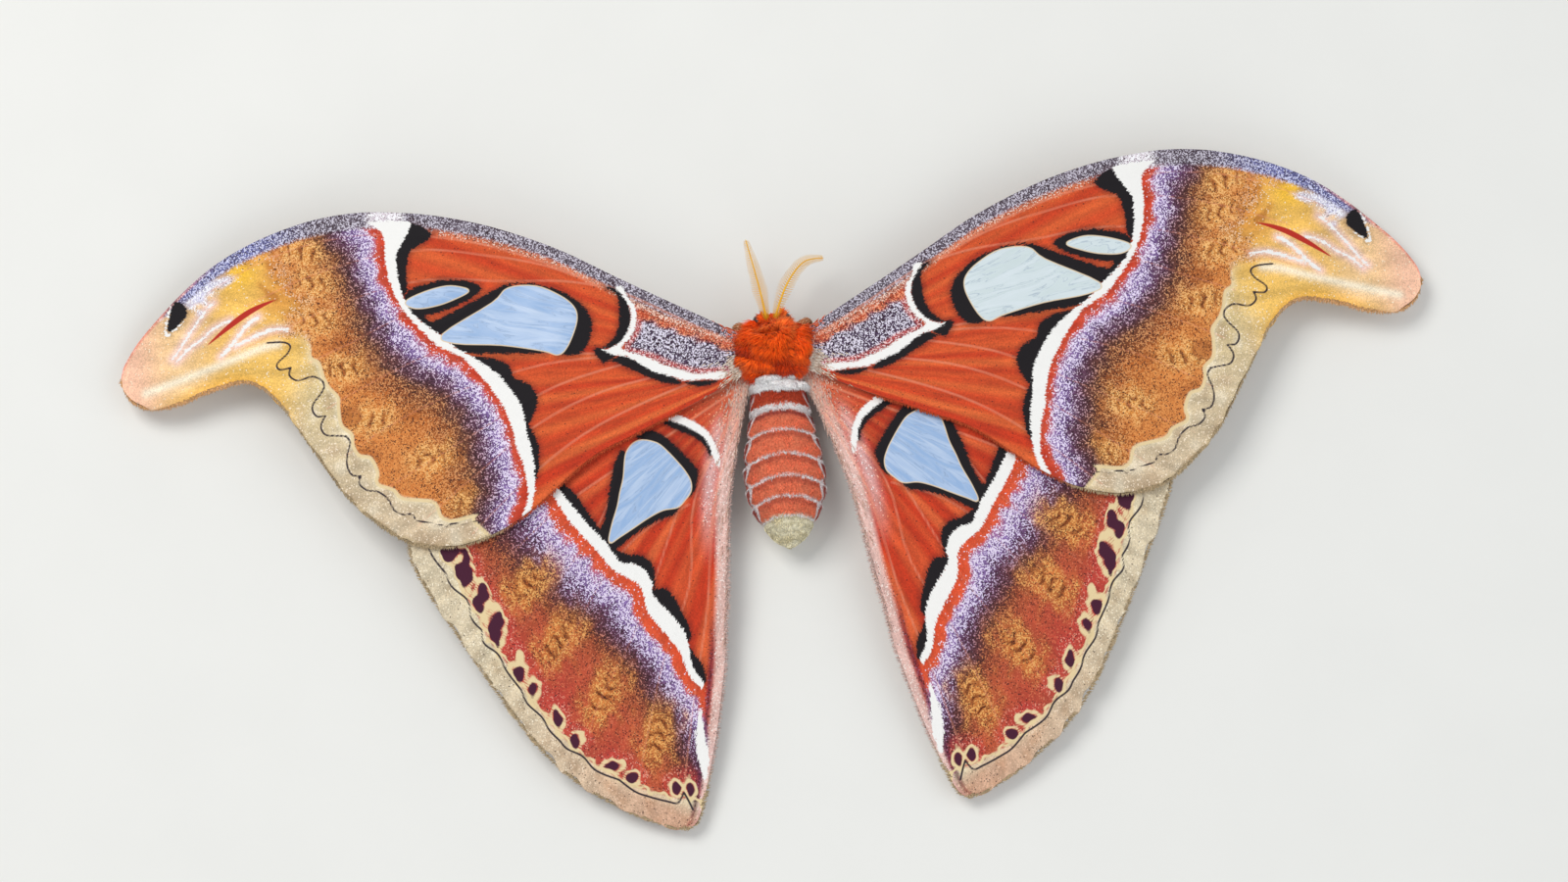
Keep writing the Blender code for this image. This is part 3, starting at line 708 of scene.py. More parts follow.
def tuft_piece(name, finish, roots, normals, flow, length, width, lift, droop, colours, on_map):
    """A coat piece of solid tufts, each three sided, rooted in a surface and bent along it.

    roots are in metres, and length and width in millimetres. lift is the angle from the
    surface at the root, and droop how much of it is lost towards the tip.
    """
    count = len(roots)
    flow = unit(flow - (flow * normals).sum(-1, keepdims=True) * normals)
    beside = np.cross(flow, normals)
    length = (np.broadcast_to(length, count) * MM)[:, None]
    width = (np.broadcast_to(width, count) * MM)[:, None]
    lift = np.broadcast_to(lift, count)[:, None]
    first = flow * np.cos(lift) + normals * np.sin(lift)
    second = flow * np.cos(lift - droop) + normals * np.sin(lift - droop)
    over = np.cross(first, beside)
    base = roots - normals * width * TUFT_SINK
    middle = roots + first * length * 0.5
    corners = np.empty((count, TUFT_CORNERS, 3))
    for corner, (aside, rise) in enumerate(TUFT_SECTION):
        reach = beside * width * aside + over * width * rise
        corners[:, corner] = base + reach
        corners[:, corner + 3] = middle + reach * TUFT_MIDDLE_WIDTH
    corners[:, 6] = middle + second * length * 0.5
    corners[..., 2] = np.maximum(corners[..., 2], FLOOR_GAP)
    triangles = (TUFT_TRIANGLES + (np.arange(count) * TUFT_CORNERS)[:, None, None]).reshape(-1, 3)
    mesh = new_mesh(name, corners.reshape(-1, 3), triangles)
    # Each tuft's colour is darkened towards its root as painted shade and lightened at its tip as painted
    # light
    paint(mesh, "ground", (colours[:, None] * TUFT_PAINTED_SHADING[:, None]).reshape(-1, 3))
    spots = (on_map[:, None] + (TUFT_ON_PATCH - 0.5) * TUFT_PATCH).reshape(-1, 2)
    unwrap(mesh, np.clip(spots, MAP_RIM, 1.0 - MAP_RIM)[loop_corners(mesh)])
    add_piece(mesh, finish)


# Finishes


class Finish:
    """A material, with short ways to add the nodes that feed its shader."""

    def __init__(self, name, roughness, **sockets):
        self.material = bpy.data.materials.new(name)
        self.material.use_nodes = True
        self.tree = self.material.node_tree
        self.shader = self.tree.nodes["Principled BSDF"]
        for socket, value in {"Roughness": roughness, **sockets}.items():
            self.shader.inputs[socket.replace("_", " ")].default_value = value
        self.place = self.add("TexCoord").outputs["Object"]

    def add(self, kind, links=None, **options):
        """Add a node, and set or link its inputs."""
        made = self.tree.nodes.new("ShaderNode" + kind)
        for option, value in options.items():
            setattr(made, option, value)
        for socket, value in (links or {}).items():
            if isinstance(value, bpy.types.NodeSocket):
                self.tree.links.new(value, made.inputs[socket])
            else:
                made.inputs[socket].default_value = value
        return made

    def noise(self, scale, detail, place=None, distortion=0.0):
        """Soft noise over the piece, or over a stored place."""
        return self.add("TexNoise", {
            "Vector": place or self.place, "Scale": scale, "Detail": detail, "Distortion": distortion,
        }).outputs["Fac"]

    def ranged(self, value, low, high, to_low, to_high):
        """A value carried from one range to another and held within it."""
        return self.add("MapRange", {
            "Value": value, "From Min": low, "From Max": high, "To Min": to_low, "To Max": to_high,
        }).outputs[0]

    def sum(self, operation, first, second=0.0):
        """The result of one sum."""
        return self.add("Math", {0: first, 1: second}, operation=operation).outputs[0]

    def mix(self, amount, under, over, way="MIX"):
        """Two colours mixed."""
        under, over = (
            colour if isinstance(colour, bpy.types.NodeSocket) else (*map(float, colour), 1.0)
            for colour in (under, over)
        )
        return self.add("Mix", {0: amount, 6: under, 7: over}, data_type="RGBA", blend_type=way).outputs[2]

    def shaded(self, colour, shade):
        """A colour made lighter or darker by a value."""
        grey = self.add("CombineColor", {"Red": shade, "Green": shade, "Blue": shade}).outputs[0]
        return self.mix(1.0, colour, grey, "MULTIPLY")

    def stored(self, name, output="Fac"):
        """What paint stored on the mesh."""
        return self.add("Attribute", attribute_name=name).outputs[output]

    def done(self, colour, height, strength, depth):
        """Feed the shader its colour and relief, and give the material."""
        self.tree.links.new(colour, self.shader.inputs["Base Color"])
        bump = self.add("Bump", {"Height": height, "Strength": strength, "Distance": depth})
        self.tree.links.new(bump.outputs[0], self.shader.inputs["Normal"])
        return self.material


def scale_finish(name, pane):
    """The wing's scales: grounds and speckles from the mesh, crisp marks, glossy panes."""
    finish = Finish(name, 0.7, Specular_IOR_Level=0.25, Sheen_Weight=0.12)
    cells = finish.add("TexVoronoi", {"Vector": finish.place, "Scale": 1.0 / settings().wings.scale_size})
    first, second, third = finish.add("SeparateColor", {"Color": cells.outputs["Color"]}).outputs
    fibres = finish.stored("grain", "Vector")
    frayed = finish.sum(
        "ADD", finish.ranged(finish.noise(5.0, 3.0, fibres), 0.25, 0.75, -0.32, 0.32),
        finish.ranged(first, 0.0, 1.0, -0.14, 0.14),
    )

    def edge(mark, reach, soft, is_frayed=False):
        """A mask that is 1 where a mark's stored distance is under a reach."""
        gap = finish.stored(mark)
        if is_frayed:
            gap = finish.sum("ADD", gap, frayed)
        return finish.ranged(gap, reach + soft, reach - soft, 0.0, 1.0)

    # Ground, with its fibres, its dark and light scales, and the veins
    shade = finish.sum(
        "MULTIPLY", finish.ranged(finish.noise(1.0, 4.0, fibres), 0.25, 0.75, 0.74, 1.22),
        finish.ranged(third, 0.0, 1.0, 0.82, 1.18),
    )
    colour = finish.shaded(finish.stored("ground", "Color"), shade)
    dark = finish.sum("LESS_THAN", third, finish.stored("dark"))
    colour = finish.mix(dark, colour, finish.mix(0.72, colour, rgb(*DARK_SCALE)))
    light = finish.sum("LESS_THAN", second, finish.stored("speck", "Alpha"))
    colour = finish.mix(light, colour, finish.stored("speck", "Color"))

    # Marks, each over the one before it
    clear = edge("pane", 0.0, 0.05)
    for mask, shades in (
        (finish.sum("MULTIPLY", edge("vein", 0.2, 0.14), 0.46), (236, 152, 122)),
        (finish.sum("MULTIPLY", edge("black", 0.5, 0.65, True), 0.55), (70, 22, 24)),
        (edge("black", 0.0, 0.07, True), (24, 19, 24)),
        (edge("red", 0.0, 0.07), (184, 46, 34)),
        (edge("white", 0.0, 0.07, True), (244, 243, 240)),
        (edge("cream", 0.0, 0.12), (232, 208, 160)),
        (edge("spot", 0.0, 0.1), (72, 26, 50)),
        (edge("wave", 0.18, 0.07), (50, 42, 50)),
        (edge("pane", 0.2, 0.07), (226, 205, 175)),
    ):
        colour = finish.mix(mask, colour, rgb(*shades))

    # Clear panes, with a painted sheen in pale streaks and fine creases drawn as thin lines of painted shade
    creases = finish.noise(0.7, 6.0, fibres, 1.5)
    # Pale streaks: painted sheen
    window = finish.mix(finish.ranged(creases, 0.35, 0.75, 0.0, 0.5), pane, rgb(232, 240, 250))
    off_middle = finish.sum("ABSOLUTE", finish.sum("SUBTRACT", creases, 0.47))
    # Thin dark lines: painted shade in the creases
    window = finish.mix(finish.ranged(off_middle, 0.0, 0.016, 0.42, 0.0), window, rgb(112, 134, 166))
    colour = finish.mix(clear, colour, window)
    colour = finish.mix(finish.sum("MULTIPLY", finish.stored("under"), 0.38), colour, rgb(176, 128, 104))
    gloss = finish.ranged(clear, 0.0, 1.0, 0.72, 0.3)
    finish.tree.links.new(gloss, finish.shader.inputs["Roughness"])
    rows = finish.sum("MULTIPLY", cells.outputs["Distance"], finish.sum("SUBTRACT", 1.0, clear))
    return finish.done(colour, finish.sum("ADD", rows, finish.sum("MULTIPLY", creases, 2.0)), 0.5, 0.00007)


def hair_finish(name, roughness=0.75):
    """Hair or fur, with the colour that is stored on the mesh and fine streaks in it."""
    finish = Finish(name, roughness, Specular_IOR_Level=0.14, Sheen_Weight=0.05)
    grain = finish.noise(2600.0, 3.0)
    colour = finish.shaded(finish.stored("ground", "Color"), finish.ranged(grain, 0.3, 0.7, 0.8, 1.24))
    return finish.done(colour, grain, 0.4, 0.00008)


def feeler_finish():
    """Amber horn, mottled lighter and darker."""
    finish = Finish("amber feeler", 0.5, Specular_IOR_Level=0.35)
    grain = finish.noise(1500.0, 3.0)
    amber = np.array(settings().body.feeler_colour)
    return finish.done(finish.mix(grain, amber * 0.72, np.minimum(amber * 1.3, 1.0)), grain, 0.5, 0.00006)


def eye_finish():
    """A dark compound eye with small facets."""
    finish = Finish("dark eye", 0.18, Coat_Weight=0.4, Coat_Roughness=0.08)
    facets = finish.add("TexVoronoi", {"Vector": finish.place, "Scale": 9000.0}).outputs["Distance"]
    colour = finish.mix(finish.noise(900.0, 2.0), rgb(26, 14, 12), rgb(78, 40, 26))
    return finish.done(colour, finish.sum("SUBTRACT", 1.0, facets), 0.7, 0.00004)


def floor_finish(colour):
    """Pale matt board with a faint mottle."""
    finish = Finish("pale board", 0.85, Specular_IOR_Level=0.2)
    mottle = finish.noise(40.0, 4.0)
    return finish.done(finish.mix(mottle, colour * 0.97, np.minimum(colour * 1.02, 1.0)), mottle, 0.05, 0.001)


# Wings


def sheet_height(span, ahead):
    """Height over the floor of the arched sheet that the wings lie on, as in the CAD."""
    arch = WING_ARCH * np.sin(math.pi * span / WING_ARCH_LENGTH)
    tip = TIP_DROOP * (np.abs(span) / HALF_SPAN) ** TIP_DROOP_POWER
    rear = REAR_DROOP * (np.maximum(0.0, REAR_DROOP_FROM - ahead) / REAR_DROOP_LENGTH) ** REAR_DROOP_POWER
    front = FRONT_DROOP * (np.maximum(0.0, ahead - FRONT_DROOP_FROM) / FRONT_DROOP_LENGTH) ** 2
    return WING_ROOT_HEIGHT + arch - tip - rear - front


def wing_height(kind, spots):
    """Height of the middle of a wing's blade at places on the moth, as in the CAD."""
    height = sheet_height(*spots.T)
    if kind == "forewing":
        return height + FOREWING_LIFT
    return height - HINDWING_DROP - HINDWING_ROOT_DROP * np.exp(-np.hypot(*spots.T) / ROOT_FADE)


def laid(kind, side, spots):
    """Spots of a wing in their place, a hindwing's turned about its pivot by its side's swing."""
    if kind == "forewing":
        return spots
    angle = HINDWING_SWING[side]
    turn = np.array(((math.cos(angle), math.sin(angle)), (-math.sin(angle), math.cos(angle))))
    return HINDWING_PIVOT + (spots - HINDWING_PIVOT) @ turn


def wing_grid(kind, columns, rows):
    """Even grid over a wing: spots, shares along and across, and the rib's width at each."""
    fine = np.linspace(0.0, 1.0, RIB_STEPS)
    rib = along_curve(WING_RIBS[kind], fine)
    travelled = travel(rib[:, :2]) + travel(rib[:, 2:])
    shares = np.interp(np.linspace(0.0, travelled[-1], columns + 1), travelled, fine)
    rib = along_curve(WING_RIBS[kind], shares)
    across = np.linspace(0.0, 1.0, rows + 1)
    spots = rib[:, None, :2] + (rib[:, None, 2:] - rib[:, None, :2]) * across[:, None]
    width = np.repeat(np.hypot(*(rib[:, 2:] - rib[:, :2]).T), rows + 1)
    along = np.repeat(shares, rows + 1)
    return spots.reshape(-1, 2), along, np.tile(across, columns + 1), width


def grain_of(spots):
    """Where each spot lies on the wing's fibres, which fan out from its root."""
    away = spots - FIBRE_ROOT
    angle = np.arctan2(away[:, 1], away[:, 0])
    return np.stack((np.hypot(*away.T) * FIBRE_PACE, angle * FIBRE_COUNT, np.zeros(len(spots))), -1)


def puckers(spots, centres, long, wide):
    """How far each spot is in a pucker of the wing, and how far in one of its folds, where shade is painted.
    """
    pucker = np.zeros(len(spots))
    folds = np.zeros(len(spots))
    for centre in centres:
        away = spots - np.array(centre)
        lean = math.atan2(centre[1] - PUCKER_FAN[1], centre[0] - PUCKER_FAN[0])
        outward = away @ np.array((math.cos(lean), math.sin(lean)))
        beside = away @ np.array((-math.sin(lean), math.cos(lean)))
        wobble = 0.35 * waves(away, 1.7, 17)
        here = np.exp(-np.abs(outward / long) ** 2.6 - np.abs(beside / wide + wobble) ** 2.4)
        pucker = np.maximum(pucker, here)
        phase = outward * 2.0 * math.pi / FOLD_SPACING + 1.3 * np.sin(beside * 1.9 + centre[0])
        phase = phase + 1.2 * waves(away, 1.6, 23)
        fold = ease(0.3, 0.95, np.cos(phase)) * ease(2.0, 0.9, np.abs(beside))
        folds = np.maximum(folds, fold * here)
    return pucker, folds


class ScaleColours:
    """Ground and speckle colours of a wing's spots, and their shares of light and dark scales."""

    def __init__(self, spots, speck, *layers):
        rust = np.tile(settings().wings.rust, (len(spots), 1))
        self.ground = layered(rust, *layers)
        self.speck = all_over(spots, *speck)
        self.light = np.zeros(len(spots))
        self.dark = np.full(len(spots), STRAY_DARK)

    def cover(self, mask, ground, speck, light, dark, speck_mask=None):
        """Cover the spots of a mask with two colours and shares of light and dark scales."""
        if speck_mask is None:
            speck_mask = ease(0.0, 0.5, mask)
        ground, speck = (rgb(*shade) if isinstance(shade, tuple) else shade for shade in (ground, speck))
        self.ground = mixed(self.ground, ground, mask)
        self.speck = mixed(self.speck, speck, speck_mask)
        self.light = self.light * (1.0 - mask) + light * mask
        self.dark = self.dark * (1.0 - mask) + dark * mask

    def cover_zone(self, mask, zone, stops):
        """Cover a mask with the stops of ground, speck, light and dark along a zone."""
        self.cover(mask, *(ramp(zone, stops[part]) for part in ("ground", "speck", "light", "dark")), mask)

    def fields(self):
        """The colours as they are stored on the mesh."""
        speck = np.hstack((self.speck, self.light[:, None]))
        return {"ground": self.ground, "speck": speck, "dark": self.dark}


def cover_fore_root(colours, spots):
    """The forewing's root patch, grey and navy, with an orange streak."""
    base = to_outline(spots, outline_through(FORE_BASE_AREA))
    streak = to_line(spots, np.array(FORE_ROOT_STREAK)) + 0.4 * waves(spots, 1.6, 18)
    colours.cover(ease(0.6, -0.6, base), (74, 58, 82), (222, 216, 232), 0.42, 0.4)
    colours.cover(hump(base + 0.5, 0.45) * 0.7, (204, 84, 76), (240, 200, 200), 0.3, 0.1)
    colours.cover(ease(2.0, 0.1, streak) * 0.85, (206, 84, 44), (236, 150, 110), 0.25, 0.12)
    colours.cover(ease(7.0, 4.5, spots[:, 0]) * 0.9, (214, 84, 36), (240, 150, 90), 0.2, 0.1)


def cover_puckers(colours, pucker, folds, golden, brown):
    """Golden puckers, with brown painted shade in the folds across them."""
    colours.cover(pucker * golden[0], *golden[1:])
    colours.cover(pucker * folds * brown[0], *brown[1:])


def tan_margin(spots, field, tip, from_hind):
    """The forewing's tan margin, cream where the field ends and mottled beyond."""
    blotch = waves(spots, 2.4, 14)
    return layered(
        ramp(spots[:, 1], FORE_TANS),
        ((240, 226, 192), ease(1.6, 0.3, field) * 0.8),
        ((186, 162, 116), ease(1.2, 0.1, from_hind) * 0.5),
        ((174, 148, 118), ease(0.1, 1.2, blotch) * 0.5 * (1.0 - tip)),
        ((238, 226, 200), ease(0.3, 1.3, -blotch) * 0.45 * (1.0 - tip)),
    )


def golden_tip(spots, roll, from_front, from_hind):
    """The forewing's tip, gold and peach, pink at its end, with pale flames and a painted highlight along its
    rolled edge.
    """
    span, ahead = spots.T
    flames = to_lines(spots, [line for _, line in FORE_FLAMES])
    dapple = ease(0.3, 1.2, waves(spots, 2.0, 16)) * ease(98.0, 92.0, span)
    return layered(
        all_over(spots, 242, 190, 96),
        ((214, 130, 50), ease(97.0, 90.0, span) * ease(11.0, 17.0, ahead) * 0.6),
        ((170, 96, 36), dapple * ease(14.0, 18.0, ahead) * 0.6),
        ((246, 190, 44), hump(np.hypot(span - 97.6, ahead - 22.6), 2.8) * 0.8),
        ((246, 206, 156), ease(100.0, 110.0, span) * 0.8),
        ((246, 190, 170), ease(110.0, 119.0, span) * 0.7),
        ((244, 196, 104), ease(106.0, 98.0, span) * ease(8.5, 6.0, ahead) * 0.8),
        ((236, 176, 74), ease(2.6, 0.6, from_hind) * ease(117.0, 108.0, span) * 0.7),
        # Painted highlight along the ridge of the rolled edge
        ((252, 240, 214), hump(roll, 0.9) * 0.85),
        ((246, 208, 208), hump(flames, 1.0) * 0.75),
        ((140, 84, 40), ease(1.7, 0.2, np.hypot(span - 100.6, ahead - 22.9)) * 0.5),
        ((236, 120, 96), ease(0.8, 0.1, from_front) * ease(108.0, 114.0, span) * 0.6),
    )


def cover_fore_front(colours, spots, from_front):
    """The strip along the front edge, grey and lavender, with a cream and orange inner side."""
    span = spots[:, 0]
    past_strip = from_front - ramp(span, FORE_STRIP_WIDTHS)
    strip = ease(0.7, -0.4, past_strip) * ease(115.0, 111.0, span)
    inner = ease(2.2, 0.6, past_strip) * ease(66.0, 58.0, span)
    bluer = ease(82.0, 96.0, span)
    ground = layered(all_over(spots, 98, 88, 100), ((104, 106, 156), bluer))
    speck = layered(all_over(spots, 200, 194, 208), ((206, 208, 240), bluer))
    pale = strip * ease(4.5, 1.5, np.abs(span - PALE_STRIP_SPAN)) * 0.9
    pink = ease(0.9, 0.3, from_front) * ease(100.0, 112.0, span) * 0.6
    colours.cover(inner * 0.6, (196, 124, 92), (236, 206, 190), 0.4, 0.18)
    colours.cover(strip, ground, speck, 0.36, 0.3)
    colours.cover(pale, (214, 200, 210), (250, 248, 252), 0.5, 0.12)
    colours.cover(pink, (236, 150, 130), (250, 200, 186), 0.2, 0.0)


def forewing_marks(spots, from_front, field, tip):
    """Distances of the spots to the forewing's crisp marks, less than nothing inside them."""
    span = spots[:, 0]
    dot = outline_through(FORE_BLACKS[-1])
    dot_edge = to_outline(spots - DOT_EDGE_SHIFT, dot) - 0.1
    band = np.vstack((line_through(FORE_WHITE_OUTER), line_through(FORE_WHITE_INNER)))
    shafts = [to_line(spots, line_through(line)) - half * 0.7 for half, line in FORE_FLAMES]
    swell = 0.55 * np.sin(math.pi * np.clip((span - 90.5) / 14.6, 0.02, 1.0))
    return {
        "white": np.minimum.reduce([
            np.maximum(to_outline(spots, band), 1.7 - from_front),
            to_outline(spots, outline_through(FORE_BAND_WHITE)) + 0.2,
            np.maximum(dot_edge, 0.1 - to_outline(spots, dot)), *shafts,
        ]),
        "black": to_shapes(spots, FORE_BLACKS),
        "red": to_line(spots, line_through(FORE_STREAK)) - swell,
        "cream": np.where(tip > 0.4, FAR_OFF, np.abs(field - 0.25) - 0.3),
        "wave": to_lines(spots, FORE_WAVES),
        "spot": np.full(len(spots), FAR_OFF),
    }


def vein_relief(spots, veins, height, pane, seed):
    """Raised veins with hollows between them, and the soft dents of the panes."""
    panes = ease(0.4, -0.6, pane)
    relief = height * hump(veins, 0.3) - 0.1 * ease(0.4, 3.0, veins)
    return relief * (1.0 - panes) + 0.05 * waves(spots, 2.6, seed) * panes


def forewing_fields(spots, across, width):
    """Colours, marks and relief of the forewing at the spots of its grid."""
    span, ahead = spots.T
    from_front = across * width
    from_hind = (1.0 - across) * width
    drift = waves(spots, 9.0, 3)
    streaks = waves(grain_of(spots)[:, 1:2], 1.6, 5)
    colours = ScaleColours(
        spots, (240, 130, 60), ((228, 112, 58), np.clip(0.34 + 0.4 * streaks, 0.0, 0.75)),
        ((172, 48, 26), ease(0.3, 1.5, drift) * 0.4),
    )
    cover_fore_root(colours, spots)

    # Beyond the white band: red, lavender, purple, olive and the orange speckled field
    beyond = to_outline(spots, np.vstack((line_through(FORE_WHITE_OUTER), FORE_ROOT_SIDE)))
    stretch = 0.76 + 0.06 * ease(20.0, 0.0, ahead)
    zone = beyond / stretch + 0.45 * drift + 0.5 * waves(spots, 1.7, 19)
    out = ease(-0.2, 0.2, beyond)
    colours.cover_zone(out, zone, FORE_ZONE)

    # Puckers in the field between the veins, and dark blotches
    inner_field = ease(10.0, 13.0, zone)
    pucker, folds = puckers(spots, FORE_PUCKERS, 4.4, 2.5)
    pucker = pucker * inner_field
    # The puckers' folds get brown painted shade
    cover_puckers(colours, pucker, folds, (0.75, (222, 150, 74), (246, 188, 118), 0.45, 0.05),
                  (0.9, (116, 58, 26), (180, 104, 54), 0.2, 0.4))
    blotch = ease(0.5, 1.1, waves(spots, 4.6, 12)) * inner_field
    colours.cover(blotch * 0.4, (140, 74, 34), (196, 118, 62), 0.28, 0.34)

    # Margin and tip
    field = to_outline(spots, outline_through(FORE_FIELD_EDGE))
    tip = ease(84.0, 93.0, span + 0.35 * ahead)
    soft = 2.4 * ease(0.1, 0.7, tip) * ease(8.0, 11.0, ahead)
    past = ease(-0.2 - soft, 0.35 + soft, field + 0.5 * soft * waves(spots, 2.2, 13))
    roll = to_line(spots, line_through(FORE_ROLL))
    gold = golden_tip(spots, roll, from_front, from_hind)
    edge = mixed(tan_margin(spots, field, tip, from_hind), gold, tip)
    colours.cover(past, edge, (250, 232, 206), 0.07 - 0.05 * tip, 0.0, past)
    bluish = to_outline(spots, outline_through(FORE_BLUISH)) + 0.8 * waves(spots, 1.3, 51)
    colours.cover(ease(1.4, -1.6, bluish) * 0.9, (198, 200, 230), (250, 250, 255), 0.45, 0.06)
    cover_fore_front(colours, spots, from_front)

    # Relief
    veins = to_lines(spots, FORE_VEINS)
    pane = to_shapes(spots, FORE_PANES)
    relief = vein_relief(spots, veins, 0.13, pane, 21)
    relief += (0.5 * pucker * (0.6 - folds) + 0.14 * waves(spots, 2.8, 9) * inner_field) * (1.0 - past)
    relief += 0.5 * hump(roll, 1.3) * ease(90.0, 95.0, span)
    rim = past * ease(6.0, 0.0, from_hind) * ease(88.0, 80.0, span)
    relief += 0.42 * waves(spots, 3.4, 26) * rim + 0.3 * waves(spots, 22.0, 27)
    marks = forewing_marks(spots, from_front, field, tip)
    return {**colours.fields(), **marks, "pane": pane, "vein": veins + 0.1 * out, "relief": relief}


def to_margin_spots(spots):
    """Distance of each spot to the dark spots of the hindwing's margin."""
    span, ahead = spots.T
    gap = np.full(len(spots), FAR_OFF)
    wobble = 1.12 + 0.34 * waves(spots, 1.3, 43)
    for centre_span, centre_ahead, wide, long in HIND_SPOTS:
        beside = np.abs((span - centre_span) / (wide / 2)) ** SPOT_SQUARENESS
        fore = np.abs((ahead - centre_ahead) / (long / 2)) ** SPOT_SQUARENESS
        reach = (beside + fore) ** (1 / SPOT_SQUARENESS)
        gap = np.minimum(gap, (reach - wobble) * min(wide, long) / 2)
    return gap


def cover_hind_inner(colours, spots, from_front, from_inner):
    """The hindwing's inner margin, a pale pinkish strip with a dark line, tan near the root."""
    span, ahead = spots.T
    past_strip = from_inner - ramp(-ahead, HIND_STRIP_WIDTHS)
    line = hump(past_strip - 0.7, 0.5) * ease(-40.0, -60.0, ahead)
    pale = hump(past_strip - 1.6, 1.3) * ease(-9.0, -15.0, ahead) * ease(-40.0, -24.0, ahead)
    near_root = ease(24.0, 10.0, np.hypot(span, ahead))
    front = ease(12.0, 4.0, from_front) * ease(60.0, 20.0, span)
    colours.cover(ease(0.6, -0.5, past_strip) * 0.95, (228, 190, 180), (244, 226, 218), 0.1, 0.01)
    colours.cover(line * 0.75, (84, 36, 60), (150, 90, 110), 0.1, 0.3)
    colours.cover(pale * 0.6, (234, 206, 204), (246, 236, 236), 0.15, 0.02)
    colours.cover(near_root * 0.6, (206, 112, 80), (240, 196, 160), 0.08, 0.04)
    colours.cover(front * 0.5, (196, 108, 80), (232, 190, 160), 0.08, 0.06)


def hindwing_fields(spots, across, width):
    """Colours, marks and relief of the hindwing at the spots of its grid."""
    span, ahead = spots.T
    drift = waves(spots, 8.0, 33)
    streaks = waves(grain_of(spots)[:, 1:2], 1.8, 35)
    colours = ScaleColours(
        spots, (242, 140, 80), ((232, 118, 66), np.clip(0.2 + 0.45 * streaks, 0.0, 0.65) * 0.8),
        ((160, 44, 24), ease(0.3, 1.4, drift) * 0.5),
    )

    # Beyond the white band: red, lavender, purple and the red speckled field with its puckers
    beyond = to_outline(spots, np.vstack((line_through(HIND_WHITE_OUTER), HIND_ROOT_SIDE)))
    stretch = 0.95 - 0.25 * ease(-38.0, -56.0, ahead)
    zone = beyond / stretch + 0.45 * drift + 0.5 * waves(spots, 1.7, 39)
    out = ease(-0.2, 0.2, beyond)
    colours.cover_zone(out, zone, HIND_ZONE)
    pucker, folds = puckers(spots, HIND_PUCKERS, 6.2, 3.1)
    # The puckers' folds get brown painted shade
    cover_puckers(colours, pucker, folds, (0.78, (204, 126, 60), (234, 170, 98), 0.4, 0.12),
                  (0.95, (108, 52, 26), (176, 98, 50), 0.2, 0.4))

    # Margin: tan with a cream scalloped line round each dark spot
    field = to_outline(spots, outline_through(HIND_FIELD_EDGE))
    past = ease(-0.3, 0.3, field)
    tan = layered(
        all_over(spots, 216, 200, 170),
        ((182, 158, 124), ease(0.0, 1.2, waves(spots, 2.2, 44)) * 0.5),
        ((236, 222, 186), ease(2.0, 0.4, field) * 0.7),
    )
    colours.cover(past, tan, (248, 236, 210), 0.07, 0.01, past)
    spot = to_margin_spots(spots)
    jags = 0.5 * waves(spots, 1.1, 49)
    round_spots = np.abs(spot - 0.36 + 0.4 * jags) - 0.26 - 0.25 * np.abs(jags)
    cream = np.minimum(round_spots, np.abs(field + 0.1 + jags) - 0.3)
    blush = ease(2.2, 0.4, np.abs(spot - 0.6)) * (1.0 - past)
    colours.cover(blush * 0.55, (196, 62, 60), (230, 150, 130), 0.1, 0.05)
    cover_hind_inner(colours, spots, across * width, (1.0 - across) * width)

    # Marks and relief
    band = np.vstack((line_through(HIND_WHITE_OUTER), line_through(HIND_WHITE_INNER)))
    veins = to_lines(spots, HIND_VEINS)
    pane = to_shapes(spots, HIND_PANES)
    relief = vein_relief(spots, veins, 0.12, pane, 45)
    relief += 0.55 * pucker * (0.6 - folds)
    relief += 0.36 * waves(spots, 3.2, 47) * past + 0.25 * waves(spots, 20.0, 48)
    return {
        **colours.fields(),
        "white": np.minimum(to_outline(spots, band), to_shapes(spots, (HIND_BAND_WHITE, HIND_EXTRA_WHITE))),
        "black": to_shapes(spots, HIND_BLACKS),
        "red": np.full(len(spots), FAR_OFF),
        "cream": np.where(span > 64.5, FAR_OFF, cream),
        "wave": to_lines(spots, HIND_WAVES),
        "spot": spot, "pane": pane, "vein": veins + 0.08 * out, "relief": relief,
    }


def closed_sheet(columns, rows, mirrored):
    """Triangles of the upper side, the under side and the rim of a thin sheet."""
    count = (columns + 1) * (rows + 1)
    over = grid_triangles(columns, rows, mirrored)
    under = grid_triangles(columns, rows, not mirrored) + count
    index = np.arange(count).reshape(columns + 1, rows + 1)
    ring = np.concatenate((index[:, 0], index[-1, 1:], index[::-1, -1][1:], index[0, ::-1][1:-1]))
    rim = strip_triangles(ring, np.roll(ring, -1), count)
    return over, under, (rim if mirrored else rim[:, ::-1])


def wing_map(mesh, spots, rim_start):
    """Places on the map: the upper side, the under side beyond it, and the rim as a thin edge."""
    count = len(spots)
    lowest = spots.min(0)
    flat = MAP_MARGIN + (spots - lowest) / (spots.max(0) - lowest) * SIDE_ON_MAP
    corners = loop_corners(mesh)
    loops = np.vstack((flat, flat + UNDER_ON_MAP))[corners]
    rim = corners[rim_start:]
    outward = flat.mean(0) + (flat - flat.mean(0)) * RIM_ON_MAP
    loops[rim_start:] = np.where((rim < count)[:, None], flat[rim % count], outward[rim % count])
    return loops


